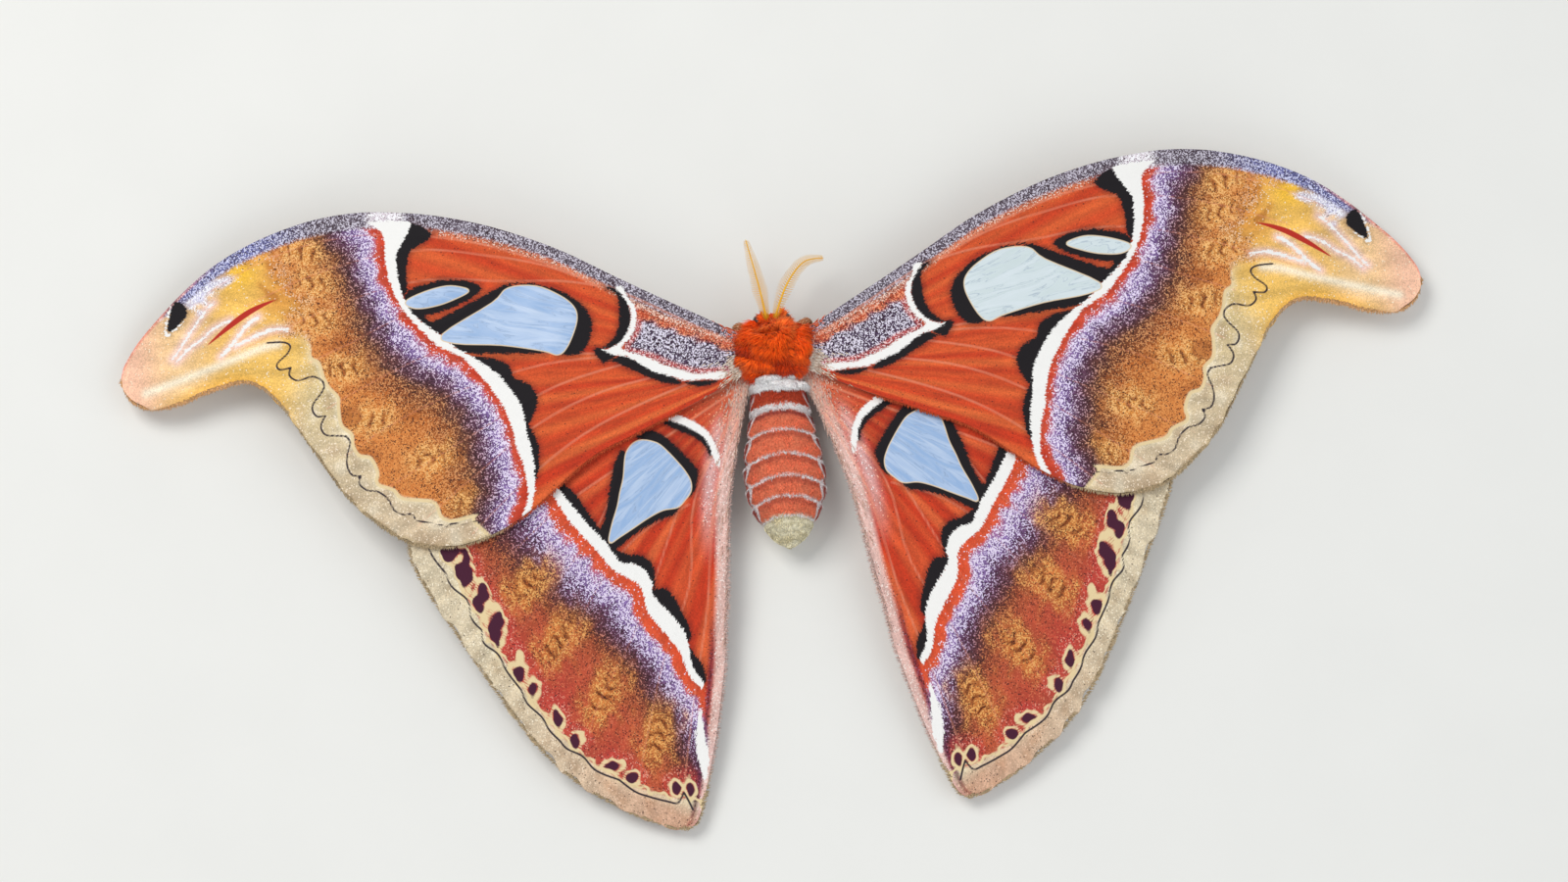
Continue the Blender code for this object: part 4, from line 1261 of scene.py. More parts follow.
def build_wing(kind, side, grid, shape, fields, finish):
    """A thin wing with both sides, its veins and folds raised and its marks stored."""
    spots, along, across, width = grid
    build = WING_BUILD[kind]
    blade = settings().wings.thickness / MM
    thick = blade + np.maximum(
        (build["root"] - blade) * np.exp(-along * ROOT_THINNING),
        (build["front"] - blade) * np.exp(-across * FRONT_EDGE_THINNING) * (1.0 - along),
    )
    from_margin = ((1.0 - across) if kind == "forewing" else across) * width
    ripple = build["ripple"] * waves(spots, 2.6, build["seed"]) * ease(1.6, 0.0, from_margin)
    ripple *= ease(0.3, 0.45, along)
    moved = laid(kind, side, spots + ripple[:, None] * RIPPLE_WAY)
    middle = wing_height(kind, moved) + fields.pop("relief") * ease(0.02, 0.12, along)
    sheets = [places(side, np.column_stack((moved, middle + rise * thick))) for rise in (0.5, -0.5)]
    over, under, rim = closed_sheet(*shape, side == "left")
    mesh = new_mesh(f"scaled_{kind}_{side}", np.vstack(sheets), np.vstack((over, under, rim)))
    for mark, values in fields.items():
        paint(mesh, mark, np.concatenate((values, values)), "FLOAT" if values.ndim == 1 else "FLOAT_COLOR")
    paint(mesh, "under", np.repeat((0.0, 1.0), len(spots)), "FLOAT")
    grain = grain_of(spots)
    paint(mesh, "grain", np.vstack((grain, grain + UNDER_GRAIN)), "FLOAT_VECTOR")
    unwrap(mesh, wing_map(mesh, spots, 3 * (len(over) + len(under))))
    add_piece(mesh, finish, (f"{kind}_{side}",))


def make_wings(kind, shape, find_fields):
    """Both wings of a kind."""
    spots, along, across, width = wing_grid(kind, *shape)
    fields = find_fields(spots, across, width)
    chosen = settings().wings
    for side in SIDES:
        # The right forewing's panes take a paler colour, as a painted reflection
        pane = chosen.pane_right_with_reflection if (kind, side) == ("forewing", "right") else chosen.pane_left
        finish = scale_finish(f"{kind} scales {side}", pane)
        build_wing(kind, side, (spots, along, across, width), shape, dict(fields), finish)


# Body


def along_rings(span, ahead):
    """How far ahead spots lie, followed along the arched rings of the abdomen."""
    return ahead + RING_ARCH * (span / RING_ARCH_SPAN) ** 2


def thorax_colour(spots):
    """Orange fur, redder in drifts and paler in others as painted highlights, brown below and pale beside the
    hindwings.
    """
    span, ahead, height = spots.T
    drift = waves(spots, 2.2, 70)
    corner = ease(4.4, 6.0, np.abs(span)) * ease(-1.6, -3.4, ahead)
    return layered(
        np.tile(settings().body.thorax_colour, (len(spots), 1)),
        ((190, 40, 8), ease(0.1, 1.1, drift) * 0.7),
        # Paler drifts: painted highlights on the locks
        ((255, 132, 62), ease(0.2, 1.1, -drift) * 0.6),
        ((150, 84, 50), ease(7.0, 4.0, height) * ease(-6.0, -4.0, ahead)),
        ((236, 214, 188), corner * 0.8),
    )


def abdomen_colour(spots):
    """Red velvet with painted highlights in lighter drifts and painted shade in its folds and on its lower
    flanks, pale rings and scalloped flank lines, and a cream tail.
    """
    span, ahead, height = spots.T
    out = np.abs(span)
    along = along_rings(span, ahead)
    fold = np.min([np.abs(along - ring + 0.9) for ring in ABDOMEN_RINGS], axis=0)
    first_ring = ease(0.6, 0.35, np.abs(along - FIRST_RING))
    rings = np.max([ease(0.32, 0.12, np.abs(along - ring)) for ring in ABDOMEN_RINGS[1:]], axis=0)
    rings = rings * (0.55 + 0.45 * ease(1.5, 5.0, out))
    stations = np.array(ABDOMEN_STATIONS)
    climb = np.arctan2(height - np.interp(-ahead, -stations[:, 0], stations[:, 2]), out)
    scallop = np.abs(np.sin((along + 1.4) * math.pi / SCALLOP_LENGTH))
    upper = climb - 0.12 - 0.3 * scallop
    lower = climb + 0.2 - 0.2 * scallop
    below_collar = ease(-8.0, -10.0, ahead)
    under = ease(5.2, 3.6, height + 0.04 * ahead) * ease(-8.0, -12.0, ahead)
    tail = ease(TAIL_FROM, TAIL_FROM - 1.1, along)
    cross_lines = ease(0.5, 1.0, np.cos(along * 2.0 * math.pi / TAIL_LINE_SPACING))
    return layered(
        np.tile(settings().body.abdomen_colour, (len(spots), 1)),
        # Lighter drifts: painted highlights on the velvet
        ((232, 128, 96), ease(0.0, 1.1, waves(spots, 2.6, 72)) * 0.4),
        ((176, 52, 26), ease(-11.0, -9.6, along) * 0.85),
        # Painted shade in the folds between the segments, and in the fold behind the first ring
        ((160, 58, 52), ease(0.8, 0.2, fold) * 0.5),
        ((120, 40, 50), ease(0.5, 0.2, np.abs(along - FIRST_RING + 1.0)) * 0.6),
        ((248, 236, 236), np.maximum(first_ring, rings)),
        # Painted shade on the lower flanks, below the scalloped line
        ((140, 58, 62), ease(0.02, -0.06, upper) * ease(-6.5, -9.0, ahead) * 0.6),
        ((246, 236, 236), ease(0.1, 0.04, np.abs(upper)) * below_collar),
        ((240, 226, 226), ease(0.09, 0.03, np.abs(lower)) * below_collar * 0.9),
        ((206, 150, 118), under * 0.7),
        ((255, 246, 212), tail),
        ((216, 198, 146), ease(0.0, 1.0, waves(spots, 2.0, 74)) * tail * 0.5),
        ((176, 160, 112), tail * cross_lines * 0.45),
    )


def body_colour(spots):
    """Colour of the skin or coat at spots given as span, ahead and height."""
    span, ahead, height = spots.T
    collar = ease(-4.5, -5.0, ahead) * ease(-7.9, -7.5, ahead)
    collar = collar * ease(5.4, 4.8, np.abs(span)) * ease(7.0, 9.0, height)
    behind = ease(-6.6, -7.4, along_rings(span, ahead))
    colour = mixed(thorax_colour(spots), abdomen_colour(spots), behind)
    return layered(colour, ((248, 246, 244), collar))


def egg(shape, slimmer):
    """Corners and triangles of an egg shape, slimmer all round by some millimetres."""
    share = np.linspace(0.0, math.pi, EGG_GRID[0] + 1)[:, None]
    turn = around(EGG_GRID[1])
    return wrapped_grid(np.stack((
        np.sin(share) * np.cos(turn) * (shape["wide"] - slimmer),
        shape["ahead"] + np.sin(share) * np.sin(turn) * (shape["long"] - slimmer),
        shape["height"] + np.cos(share) * np.ones(len(turn)) * (shape["tall"] - slimmer),
    ), -1))


def abdomen_shape(slimmer):
    """Corners and triangles of the abdomen, with its segments as low swellings."""
    station = along_curve(ABDOMEN_STATIONS, np.linspace(0.0, 1.0, ABDOMEN_GRID[0]))
    turn = around(ABDOMEN_GRID[1])
    ahead = np.repeat(station[:, :1], len(turn), 1)
    fold = np.min([np.abs(ahead - ring + 1.0) for ring in ABDOMEN_RINGS], axis=0)
    half = np.maximum(station[:, 1:2] - slimmer, 0.0) - 0.45 * hump(fold, 0.55) * (station[:, 1:2] > 2.0)
    height = station[:, 2:] + half * ABDOMEN_FLATNESS * np.sin(turn)
    return wrapped_grid(np.stack((half * np.cos(turn), ahead, height), -1))


def make_skin(finish):
    """One skin over the head, thorax, abdomen and palps, inside the solids they stand for."""
    shapes = [egg(THORAX, 0.8), egg(HEAD, 0.45), abdomen_shape(0.45), egg(WAIST, 0.6)]
    shares = np.linspace(0.0, 1.0, PALP_STEPS)
    palp_radii = (PALP_RADIUS - 0.12) * np.linspace(1.0, PALP_TIP_SHARE, PALP_STEPS) * MM
    for side in SIDES:
        shapes.append(swept_tube(places(side, along_curve(PALP_PATH, shares)), palp_radii, 10))
    rough = bpy.data.objects.new("rough skin", new_mesh("rough skin", *join_shapes(shapes)))
    bpy.context.scene.collection.objects.link(rough)
    remesh = rough.modifiers.new("one skin", "REMESH")
    remesh.mode = "VOXEL"
    remesh.voxel_size = settings().body.skin_cell
    smooth = rough.modifiers.new("soft joins", "SMOOTH")
    smooth.iterations = 4
    mesh = bpy.data.meshes.new_from_object(rough.evaluated_get(bpy.context.evaluated_depsgraph_get()))
    bpy.data.objects.remove(rough, do_unlink=True)
    mesh.name = "skin"
    mesh.materials.clear()
    mesh.shade_smooth()
    # Painted shade: the skin under the coat is darker than the coat's colours
    paint(mesh, "ground", body_colour(to_spots(corner_values(mesh, "co"))) * SKIN_PAINTED_SHADE)
    return add_piece(mesh, finish, SKIN_NODES)


# Coat


def scattered(mesh, count, seed, where):
    """Random places spread evenly on a mesh, kept by a chance for each, with their normals."""
    mesh.calc_loop_triangles()
    triangles = np.empty(3 * len(mesh.loop_triangles), np.int32)
    mesh.loop_triangles.foreach_get("vertices", triangles)
    triangles = triangles.reshape(-1, 3)
    corners = corner_values(mesh, "co")
    a, b, c = (corners[triangles[:, index]] for index in range(3))
    size = np.linalg.norm(np.cross(b - a, c - a), axis=1)
    chance = where(*to_spots((a + b + c) / 3.0).T) * size
    random = np.random.default_rng(seed)
    picked = triangles[random.choice(len(triangles), count, p=chance / chance.sum())]
    u, v = random.random((2, count, 1))
    over = (u + v) > 1.0
    u, v = np.where(over, 1.0 - u, u), np.where(over, 1.0 - v, v)
    roots, normals = (
        values[picked[:, 0]] * (1 - u - v) + values[picked[:, 1]] * u + values[picked[:, 2]] * v
        for values in (corners, corner_values(mesh, "normal"))
    )
    return roots, unit(normals), random


def body_map(spots):
    """Place of each spot on the skin's own unwrap, along the body and round it."""
    turned = np.arctan2(spots[:, 0], spots[:, 2] - BODY_AXIS_HEIGHT) / (2.0 * math.pi) + 0.5
    along = (spots[:, 1] - BODY_TAIL) / BODY_LENGTH
    return 0.01 + 0.98 * np.column_stack((turned, along))


def body_flow(spots):
    """The way the coat lies at each spot: back along the body, and out from the neck."""
    span, ahead, height = spots.T
    outward = np.sign(span) * ease(0.0, 3.0, np.abs(span)) * ease(-5.0, -2.0, ahead)
    backward = np.column_stack((outward * 0.9, np.where(ahead > 2.6, -0.2, 1.0), np.full(len(spots), -0.15)))
    forward = np.column_stack((span * 0.95, -np.ones(len(spots)), (height - 9.0) * 0.35))
    return unit(mixed(backward, forward, ease(2.4, 4.4, ahead)))


def on_thorax(span, ahead, height):
    """All over the thorax, thinner below."""
    above = 0.35 + 0.65 * ease(5.0, 8.0, height)
    return ease(-4.3, -3.5, ahead) * ease(4.6, 3.4, ahead) * above


def on_head(span, ahead, height):
    """All over the head, thicker above."""
    above = 2.2 * ease(8.6, 9.6, height) * ease(0.6, 1.4, np.abs(span))
    return ease(2.8, 3.6, ahead) * (1.0 + above)


def on_brow(span, ahead, height):
    """Above the eyes."""
    above = ease(8.9, 9.6, height) * ease(0.8, 1.3, np.abs(span))
    over_eye = 1.0 + ease(1.3, 1.9, np.abs(span))
    return above * over_eye * ease(3.4, 4.2, ahead) * ease(6.8, 5.8, ahead)


def on_collar(span, ahead, height):
    """Across the back, where the thorax meets the abdomen."""
    across = ease(7.0, 9.0, height) * ease(-4.4, -4.8, ahead)
    return across * ease(-7.3, -6.7, ahead) * ease(4.9, 4.2, np.abs(span))


def on_abdomen(span, ahead, height):
    """All over the abdomen."""
    return ease(-5.0, -6.0, ahead)


def on_rings(span, ahead, height):
    """On the rings of the abdomen, thick on the first and thin on the middle of the rest."""
    along = along_rings(span, ahead)
    first = hump(along - FIRST_RING_TUFTS, 0.38) * 2.4
    rest = np.max([hump(along - ring, 0.11) for ring in ABDOMEN_RINGS[1:]], axis=0)
    sides = 0.4 + 0.7 * ease(2.0, 5.6, np.abs(span))
    return (first + rest * sides) * ease(5.4, 7.0, height)


# Parts of the coat: name, where, tufts, seed, length, width, lift, droop, size of locks, tint, slot
WHITE = ((255, 254, 252), (222, 212, 230), 0.25)
RING_WHITE = ((255, 250, 248), (224, 206, 218), 0.35)
COAT_PARTS = (
    ("coat_thorax", on_thorax, 13000, 101, 2.7, 0.28, 0.85, 0.8, 1.7, None, "orange_fur"),
    ("coat_head", on_head, 3000, 105, 1.0, 0.18, 0.4, 0.7, 1.2, None, "orange_fur"),
    ("coat_brow", on_brow, 4000, 107, 2.8, 0.28, 0.26, 0.8, 1.0, None, "orange_fur"),
    ("coat_collar", on_collar, 3800, 109, 1.6, 0.28, 0.36, 0.4, 1.8, WHITE, "orange_fur"),
    ("coat_abdomen", on_abdomen, 17000, 113, 0.62, 0.17, 0.22, 0.2, 1.4, None, "abdomen_velvet"),
    ("coat_rings", on_rings, 3800, 117, 0.6, 0.15, 0.4, 0.3, 1.0, RING_WHITE, "abdomen_velvet"),
)


def make_coat(skin, finish):
    """The tufts of the head, thorax, collar, abdomen and its pale rings, turned in locks."""
    many = settings().body.tuft_share
    for name, where, tufts, seed, length, width, lift, droop, locks, tint, slot in COAT_PARTS:
        count = int(tufts * many)
        roots, normals, random = scattered(skin.data, count, seed, where)
        spots = to_spots(roots)
        flow = body_flow(spots)
        sway = waves(spots, locks, seed + 1)[:, None] * 0.6 + random.normal(0.0, 0.16, (count, 1))
        flow = flow + np.cross(normals, flow) * sway
        heave = waves(spots, locks * 0.8, seed + 2)
        lifts = lift * (1.0 + 0.6 * heave) + random.normal(0.0, 0.06, count)
        lengths = length * (1.0 + 0.22 * heave) * random.uniform(0.78, 1.15, count)
        if tint:
            colours = layered(all_over(spots, *tint[0]), (tint[1], random.random(count) ** 2 * tint[2]))
        else:
            # Each tuft has a random tone, plus painted light and shade: lighter where its lock heaves up,
            # darker where it sinks
            shades = random.uniform(0.72, 1.26, (count, 1)) * (1.0 + 0.16 * heave[:, None])
            colours = body_colour(spots) * shades
        widths = width * random.uniform(0.8, 1.2, count)
        tuft_piece(name, finish, roots, normals, flow, lengths, widths, np.clip(lifts, 0.04, 1.2),
                   droop, colours, body_map(spots))


def wing_hair(name, side, finish, random, spots, height, heading, length, width, lift, colours):
    """A piece of fine hair on a wing, lying along its heading."""
    count = len(spots)
    roots = places(side, np.column_stack((spots, height)))
    flow = np.column_stack((heading[:, 0] * OUTWARD[side], -heading[:, 1], np.zeros(count)))
    flow = unit(flow + random.normal(0.0, 0.14, (count, 3)))
    lengths = length * random.uniform(0.7, 1.2, count)
    lifts = lift * random.uniform(0.5, 1.5, count)
    on_map = MAP_MARGIN + MAP_ROOM * (spots - spots.min(0)) / (spots.max(0) - spots.min(0))
    tuft_piece(name, finish, roots, UPWARD, flow, lengths, width, lifts, 0.4, colours, on_map)


def picked_spots(spots, chance, count, random):
    """Spots picked by their chances and moved a little."""
    picked = random.choice(len(spots), count, p=chance / chance.sum())
    return spots[picked] + random.normal(0.0, 0.12, (count, 2))


def fore_root_hair(side, finish, random, spots, count):
    """Tan and orange hair over the root of a forewing, from its shoulder to its hind edge."""
    front = ease(0.6, 1.8, spots[:, 1])
    hind = ease(0.2, -2.0, spots[:, 1])
    chance = np.exp(-np.maximum(spots[:, 0] - FORE_HAIR["span"], 0.0)) * (hind + 1.6 * front)
    at = picked_spots(spots, chance, count, random)
    heading = unit(np.column_stack((np.ones(count), at[:, 1] * 0.12 - 0.25)))
    shoulder = ease(-0.4, 0.6, at[:, 1])
    tan = random.random(count) ** 2 * 0.8
    orange = shoulder * random.uniform(0.75, 1.0, count)
    colours = layered(all_over(at, 255, 242, 226), ((176, 120, 80), tan), ((238, 92, 34), orange))
    heading = unit(heading + np.column_stack((np.zeros(count), 0.35 * shoulder)))
    height = sheet_height(*at.T) + 1.0 - random.uniform(0.0, 1.5, count) * shoulder
    wing_hair(f"root_hair_fore_{side}", side, finish, random, at, height, heading, 1.35, 0.24, 0.4, colours)


def hind_root_hair(side, finish, random, grid, count):
    """Pale pinkish hair over the root and the inner edge of a hindwing."""
    spots, _, across, width = grid
    from_inner = (1.0 - across) * width
    chance = np.exp(-from_inner / 1.4) * np.exp(-np.abs(spots[:, 1] + 6.0) / 16.0)
    chance = chance * ease(5.0, 3.0, from_inner)
    chance = chance + np.exp(-np.hypot(*(spots - HIND_HAIR["place"]).T) / 2.0)
    flat = picked_spots(spots, np.where(chance < 0.05, 0.0, chance), count, random)
    at = laid("hindwing", side, flat)
    heading = unit(np.column_stack((0.16 + 0.04 * (at[:, 0] - 6.0), -np.ones(count))))
    colours = layered(all_over(at, 240, 214, 200), ((214, 150, 120), random.random(count) * 0.6))
    height = wing_height("hindwing", at) + 0.2
    wing_hair(f"root_hair_hind_{side}", side, finish, random, at, height, heading, 2.0, 0.17, 0.22, colours)


def make_wing_root_hair(finish):
    """Hair over the roots of the wings and along the hindwings' inner edges."""
    many = settings().body.tuft_share
    fore = wing_grid("forewing", *FORE_HAIR["grid"])
    hind = wing_grid("hindwing", *HIND_HAIR["grid"])
    for side in SIDES:
        random = np.random.default_rng(131)
        fore_root_hair(side, finish, random, fore[0], int(FORE_HAIR["tufts"] * many))
        hind_root_hair(side, finish, random, hind, int(HIND_HAIR["tufts"] * many))


def fringed_edge(kind):
    """The margin of a wing that wears a fringe, and the way out from it."""
    columns, rows = FRINGES[kind]["grid"]
    start = FRINGES[kind]["from"]
    spots = wing_grid(kind, columns, rows)[0].reshape(columns + 1, rows + 1, 2)
    if kind == "forewing":
        edge = np.concatenate((spots[start:, -1], spots[-1, ::-1]))
        inner = np.concatenate((spots[start:, -3], spots[-3, ::-1]))
    else:
        edge = np.concatenate((spots[start:, 0], spots[-1], spots[::-1, -1]))
        inner = np.concatenate((spots[start:, 2], spots[-3], spots[::-1, -3]))
    return edge, unit(edge - inner)


def fringe_colour(kind, flat):
    """Tan scales, orange at the forewing's tip, rust near its root, pale inside the hindwing."""
    span, ahead = flat.T
    tan = all_over(flat, 204, 180, 142)
    if kind == "hindwing":
        inner = ease(24.0, 18.0, span) * ease(-80.0, -74.0, ahead)
        return layered(tan, ((232, 200, 190), inner))
    return layered(tan, ((240, 186, 130), ease(88.0, 100.0, span)), ((206, 88, 52), ease(54.0, 49.0, span)))


def make_fringes(finish):
    """The fine fringe of scales on the outer and hind margins of every wing."""
    many = settings().body.tuft_share
    for kind in WING_RIBS:
        edge, outward = fringed_edge(kind)
        travelled = travel(edge)
        count = int(FRINGES[kind]["tufts"] * many)
        for side in SIDES:
            random = np.random.default_rng(151)
            where = np.sort(random.uniform(0.0, travelled[-1], count))
            flat, out = (
                np.column_stack([np.interp(where, travelled, column) for column in line.T])
                for line in (edge, outward)
            )
            out = unit(out)
            flat = flat - out * random.uniform(0.0, 0.5, (count, 1))
            at = laid(kind, side, flat)
            height = wing_height(kind, at) + random.uniform(-0.06, 0.1, count)
            colours = fringe_colour(kind, flat) * random.uniform(0.75, 1.2, (count, 1))
            roots = places(side, np.column_stack((at, height)))
            flow = np.column_stack((out[:, 0] * OUTWARD[side], -out[:, 1], random.normal(0.0, 0.1, count)))
            flow = unit(flow + random.normal(0.0, 0.2, (count, 3)) * (1.0, 1.0, 0.0))
            on_map = np.column_stack((where / travelled[-1], random.uniform(0.1, 0.9, count)))
            lengths = random.uniform(0.5, 0.95, count)
            lifts = random.normal(0.0, 0.08, count)
            tuft_piece(f"fringe_{kind}_{side}", finish, roots, UPWARD, flow, lengths, 0.16,
                       lifts, 0.0, colours, on_map)


# Head parts


def make_eyes():
    """Two dark compound eyes, each a ball of small facets set in the head."""
    finish = eye_finish()
    share = np.linspace(0.0, math.pi, EYE_GRID[0])[:, None]
    turn = around(EYE_GRID[1])
    facets = FACET_DEPTH * np.cos(share * FACET_WAVES[0]) * np.cos(turn * FACET_WAVES[1])
    radius = (EYE_RADIUS + facets) * (1.0 - 0.06 * np.cos(share) ** 2)
    spots = EYE_PLACE + np.stack((
        radius * np.sin(share) * np.cos(turn), radius * np.sin(share) * np.sin(turn), radius * np.cos(share),
    ), -1)
    for side in SIDES:
        corners, triangles = wrapped_grid(spots)
        corners[:, 0] *= OUTWARD[side]
        facing = triangles if side == "left" else triangles[:, ::-1]
        mesh = new_mesh(f"compound_eye_{side}", corners, facing)
        add_piece(mesh, finish, (f"eye_{side}",))


def feather_half_width(share):
    """Half width of an antenna's feather at a share of its length, as in the CAD."""
    swell = np.sin(math.pi * np.minimum(share * 0.84 + 0.16, 1.0)) ** 0.8
    return 0.3 + 1.2 * swell * np.minimum(1.0, share / 0.45)


def branch_pair(here, heading, half):
    """Two branches to each side of an antenna's stalk, one rising and one sinking."""
    sideways = unit(np.cross(heading, UPWARD))
    t = np.linspace(0.0, 1.0, 5)[:, None]
    radii = np.linspace(0.055, 0.022, 5) * MM
    branches = []
    for hand in (-1.0, 1.0):
        for slant, rise in ((0.55, 0.1), (0.25, -0.12)):
            lean = heading * slant * half * t ** 1.6
            bow = UPWARD * half * (rise * t + 0.12 * np.sin(math.pi * t))
            branches.append(swept_tube(here + sideways * hand * half * 0.97 * t + lean + bow, radii, 4))
    return branches


def make_antennae():
    """Two feathered antennae, each a tapering ringed stalk with branches to both sides."""
    finish = feeler_finish()
    shares = np.linspace(0.0, 1.0, STALK_STEPS)
    rings = 1.0 + 0.1 * np.cos(np.arange(STALK_STEPS) * math.pi)
    stalk_radii = (0.26 - 0.17 * shares) * rings * MM
    for side in SIDES:
        shapes = [swept_tube(places(side, along_curve(ANTENNA_PATHS[side], shares)), stalk_radii, 8)]
        random = np.random.default_rng(171)
        for share in np.linspace(0.06, 0.985, settings().body.branches, endpoint=False):
            here, onward = places(side, along_curve(ANTENNA_PATHS[side], (share, min(share + 0.02, 1.0))))
            half = float(feather_half_width(share)) * MM * random.uniform(0.92, 1.02)
            shapes += branch_pair(here, unit(onward - here), half)
        mesh = new_mesh(f"feeler_{side}", *join_shapes(shapes))
        add_piece(mesh, finish, (f"antenna_{side}",))


# Legs


def leg_path(kind):
    """Middle line of a leg and its radii, narrow at the knees and at the joints of the foot."""
    shares = np.linspace(0.0, 1.0, LEG_STEPS)
    path = along_curve(LEG_PATHS[kind], shares)
    radii = along_curve(LEG_RADII, shares)[:, 0]
    nearest = np.min(np.abs(shares[:, None] - KNEES), axis=1)
    radii = radii * (1.0 - 0.24 * hump(nearest, 0.009) + 0.1 * hump(nearest - 0.02, 0.01))
    path[:, 2] = np.maximum(path[:, 2], radii + SOLE_GAP)
    return shares, path, radii


def claws(world):
    """The two curved claws at the end of a foot."""
    forward = unit(world[-1] - world[-5])
    sideways = unit(np.cross(forward, UPWARD))
    t = np.linspace(0.0, 1.0, 7)[:, None]
    made = []
    for hand in (-1.0, 1.0):
        claw = world[-1] + (forward * 0.55 * t + sideways * hand * 0.32 * np.sin(t * 1.9)) * MM
        claw[:, 2] += (0.14 * np.sin(math.pi * t[:, 0]) - 0.2 * t[:, 0]) * MM
        claw[:, 2] = np.maximum(claw[:, 2], 2 * FLOOR_GAP)
        made.append(swept_tube(claw, np.linspace(0.09, 0.025, 7) * MM, 6))
    return made


def leg_tufts(kind, side, finish, shares, radii):
    """Short scales all round a leg, longest on the thigh and fine on the foot."""
    random = np.random.default_rng(191)
    count = int(LEG_TUFTS * settings().body.tuft_share)
    at = np.clip(random.beta(1.0, 1.25, count), 0.02, 0.97)
    turn = random.uniform(0.0, 2.0 * math.pi, count)
    thick = np.interp(at, shares, radii)
    centre = along_curve(LEG_PATHS[kind], at)
    centre[:, 2] = np.maximum(centre[:, 2], thick + SOLE_GAP)
    centre = places(side, centre)
    onward = places(side, along_curve(LEG_PATHS[kind], np.minimum(at + 0.02, 1.0)))
    flow = unit(onward - centre)
    sideways = unit(np.cross(flow, (0.02, 0.03, 1.0)))
    normals = sideways * np.cos(turn)[:, None] + np.cross(sideways, flow) * np.sin(turn)[:, None]
    roots = centre + normals * (thick * 0.9)[:, None] * MM
    lengths = np.interp(at, (0.0, 0.3, 0.6, 0.7, 1.0), (1.1, 0.7, 0.8, 0.35, 0.22))
    widths = np.interp(at, (0.0, 0.6, 0.7, 1.0), (0.26, 0.2, 0.12, 0.09))
    colours = layered(
        all_over(roots, 196, 120, 70),
        ((206, 140, 98), ease(4.5, 6.5, to_spots(roots)[:, 2])),
        ((236, 206, 170), random.random(count) * 0.6),
    )
    on_map = MAP_MARGIN + MAP_ROOM * np.column_stack((at, turn / (2.0 * math.pi)))
    tuft_piece(f"leg_tufts_{kind}_{side}", finish, roots, normals, flow, lengths, widths, 0.3, 0.2,
               colours, on_map)


def make_legs(finish):
    """Six jointed legs with furry thighs and shins, ringed feet and paired claws."""
    for kind in LEG_PATHS:
        shares, path, radii = leg_path(kind)
        for side in SIDES:
            world = places(side, path)
            shapes = [swept_tube(world, radii * MM, 12), *claws(world)]
            mesh = new_mesh(f"jointed_leg_{kind}_{side}", *join_shapes(shapes))
            height = to_spots(corner_values(mesh, "co"))[:, 2]
            paint(mesh, "ground", layered(
                all_over(height, 150, 82, 44),
                ((176, 112, 76), ease(4.0, 6.5, height)),
                ((84, 46, 30), ease(0.8, 0.3, height) * 0.8),
            ))
            add_piece(mesh, finish, (f"leg_{kind}_{side}",))
            leg_tufts(kind, side, finish, shares, radii)


# Stage


def add_light(name, place, target, power, size, colour):
    """A soft square light that faces a target."""
    data = bpy.data.lights.new(name, "AREA")
    data.energy = power
    data.size = size
    data.color = colour
    light = bpy.data.objects.new(name, data)
    light.location = place
    light.rotation_euler = (Vector(target) - Vector(place)).to_track_quat("-Z", "Y").to_euler()
    bpy.context.scene.collection.objects.link(light)


def add_camera(chosen, target):
    """The camera, at the photograph's viewing angle."""
    height = chosen.camera_height
    lean = chosen.camera_lean
    away = np.array((math.cos(height) * math.sin(lean), math.cos(height) * math.cos(lean), math.sin(height)))
    data = bpy.data.cameras.new("camera")
    data.lens = chosen.lens
    data.sensor_width = SENSOR_WIDTH
    data.clip_start = 0.01
    data.clip_end = 20.0
    camera = bpy.data.objects.new("camera", data)
    camera.location = target + away * chosen.camera_distance
    camera.rotation_mode = "QUATERNION"
    camera.rotation_quaternion = Vector(-away).to_track_quat("-Z", "Y")
    bpy.context.scene.collection.objects.link(camera)
    bpy.context.scene.camera = camera


def make_stage():
    """Pale floor, soft lights and the camera."""
    chosen = settings().stage
    scene = bpy.context.scene
    half = chosen.floor_size / 2
    corners = np.array([(x, y, 0.0) for x in (-half, half) for y in (-half, half)])
    floor_mesh = new_mesh("floor", corners, np.array(((0, 2, 3), (0, 3, 1))))
    floor_mesh.materials.append(floor_finish(np.array(chosen.floor_colour)))
    floor = bpy.data.objects.new("floor", floor_mesh)
    scene.collection.objects.link(floor)

    world = bpy.data.worlds.new("soft room")
    world.use_nodes = True
    background = world.node_tree.nodes["Background"]
    background.inputs["Color"].default_value = ROOM_COLOUR
    background.inputs["Strength"].default_value = chosen.room_light
    scene.world = world

    target = np.array((-chosen.target_right * MM, (MIDDLE_AHEAD - chosen.target_ahead) * MM, LOOK_HEIGHT))
    for name, place, power, size, colour in LIGHTS:
        add_light(name, target + place, target, power * chosen.lamp_power, size, colour)
    add_camera(chosen, target)
    scene.view_settings.view_transform = "Standard"
    scene.view_settings.exposure = chosen.exposure


# Panel and operators


def colour_setting(name, about, *shades):
    """A colour property with its default."""
    return FloatVectorProperty(name=name, description=about, subtype="COLOR", size=3, min=0.0, max=1.0,
                               default=tuple(float(part) for part in rgb(*shades)))


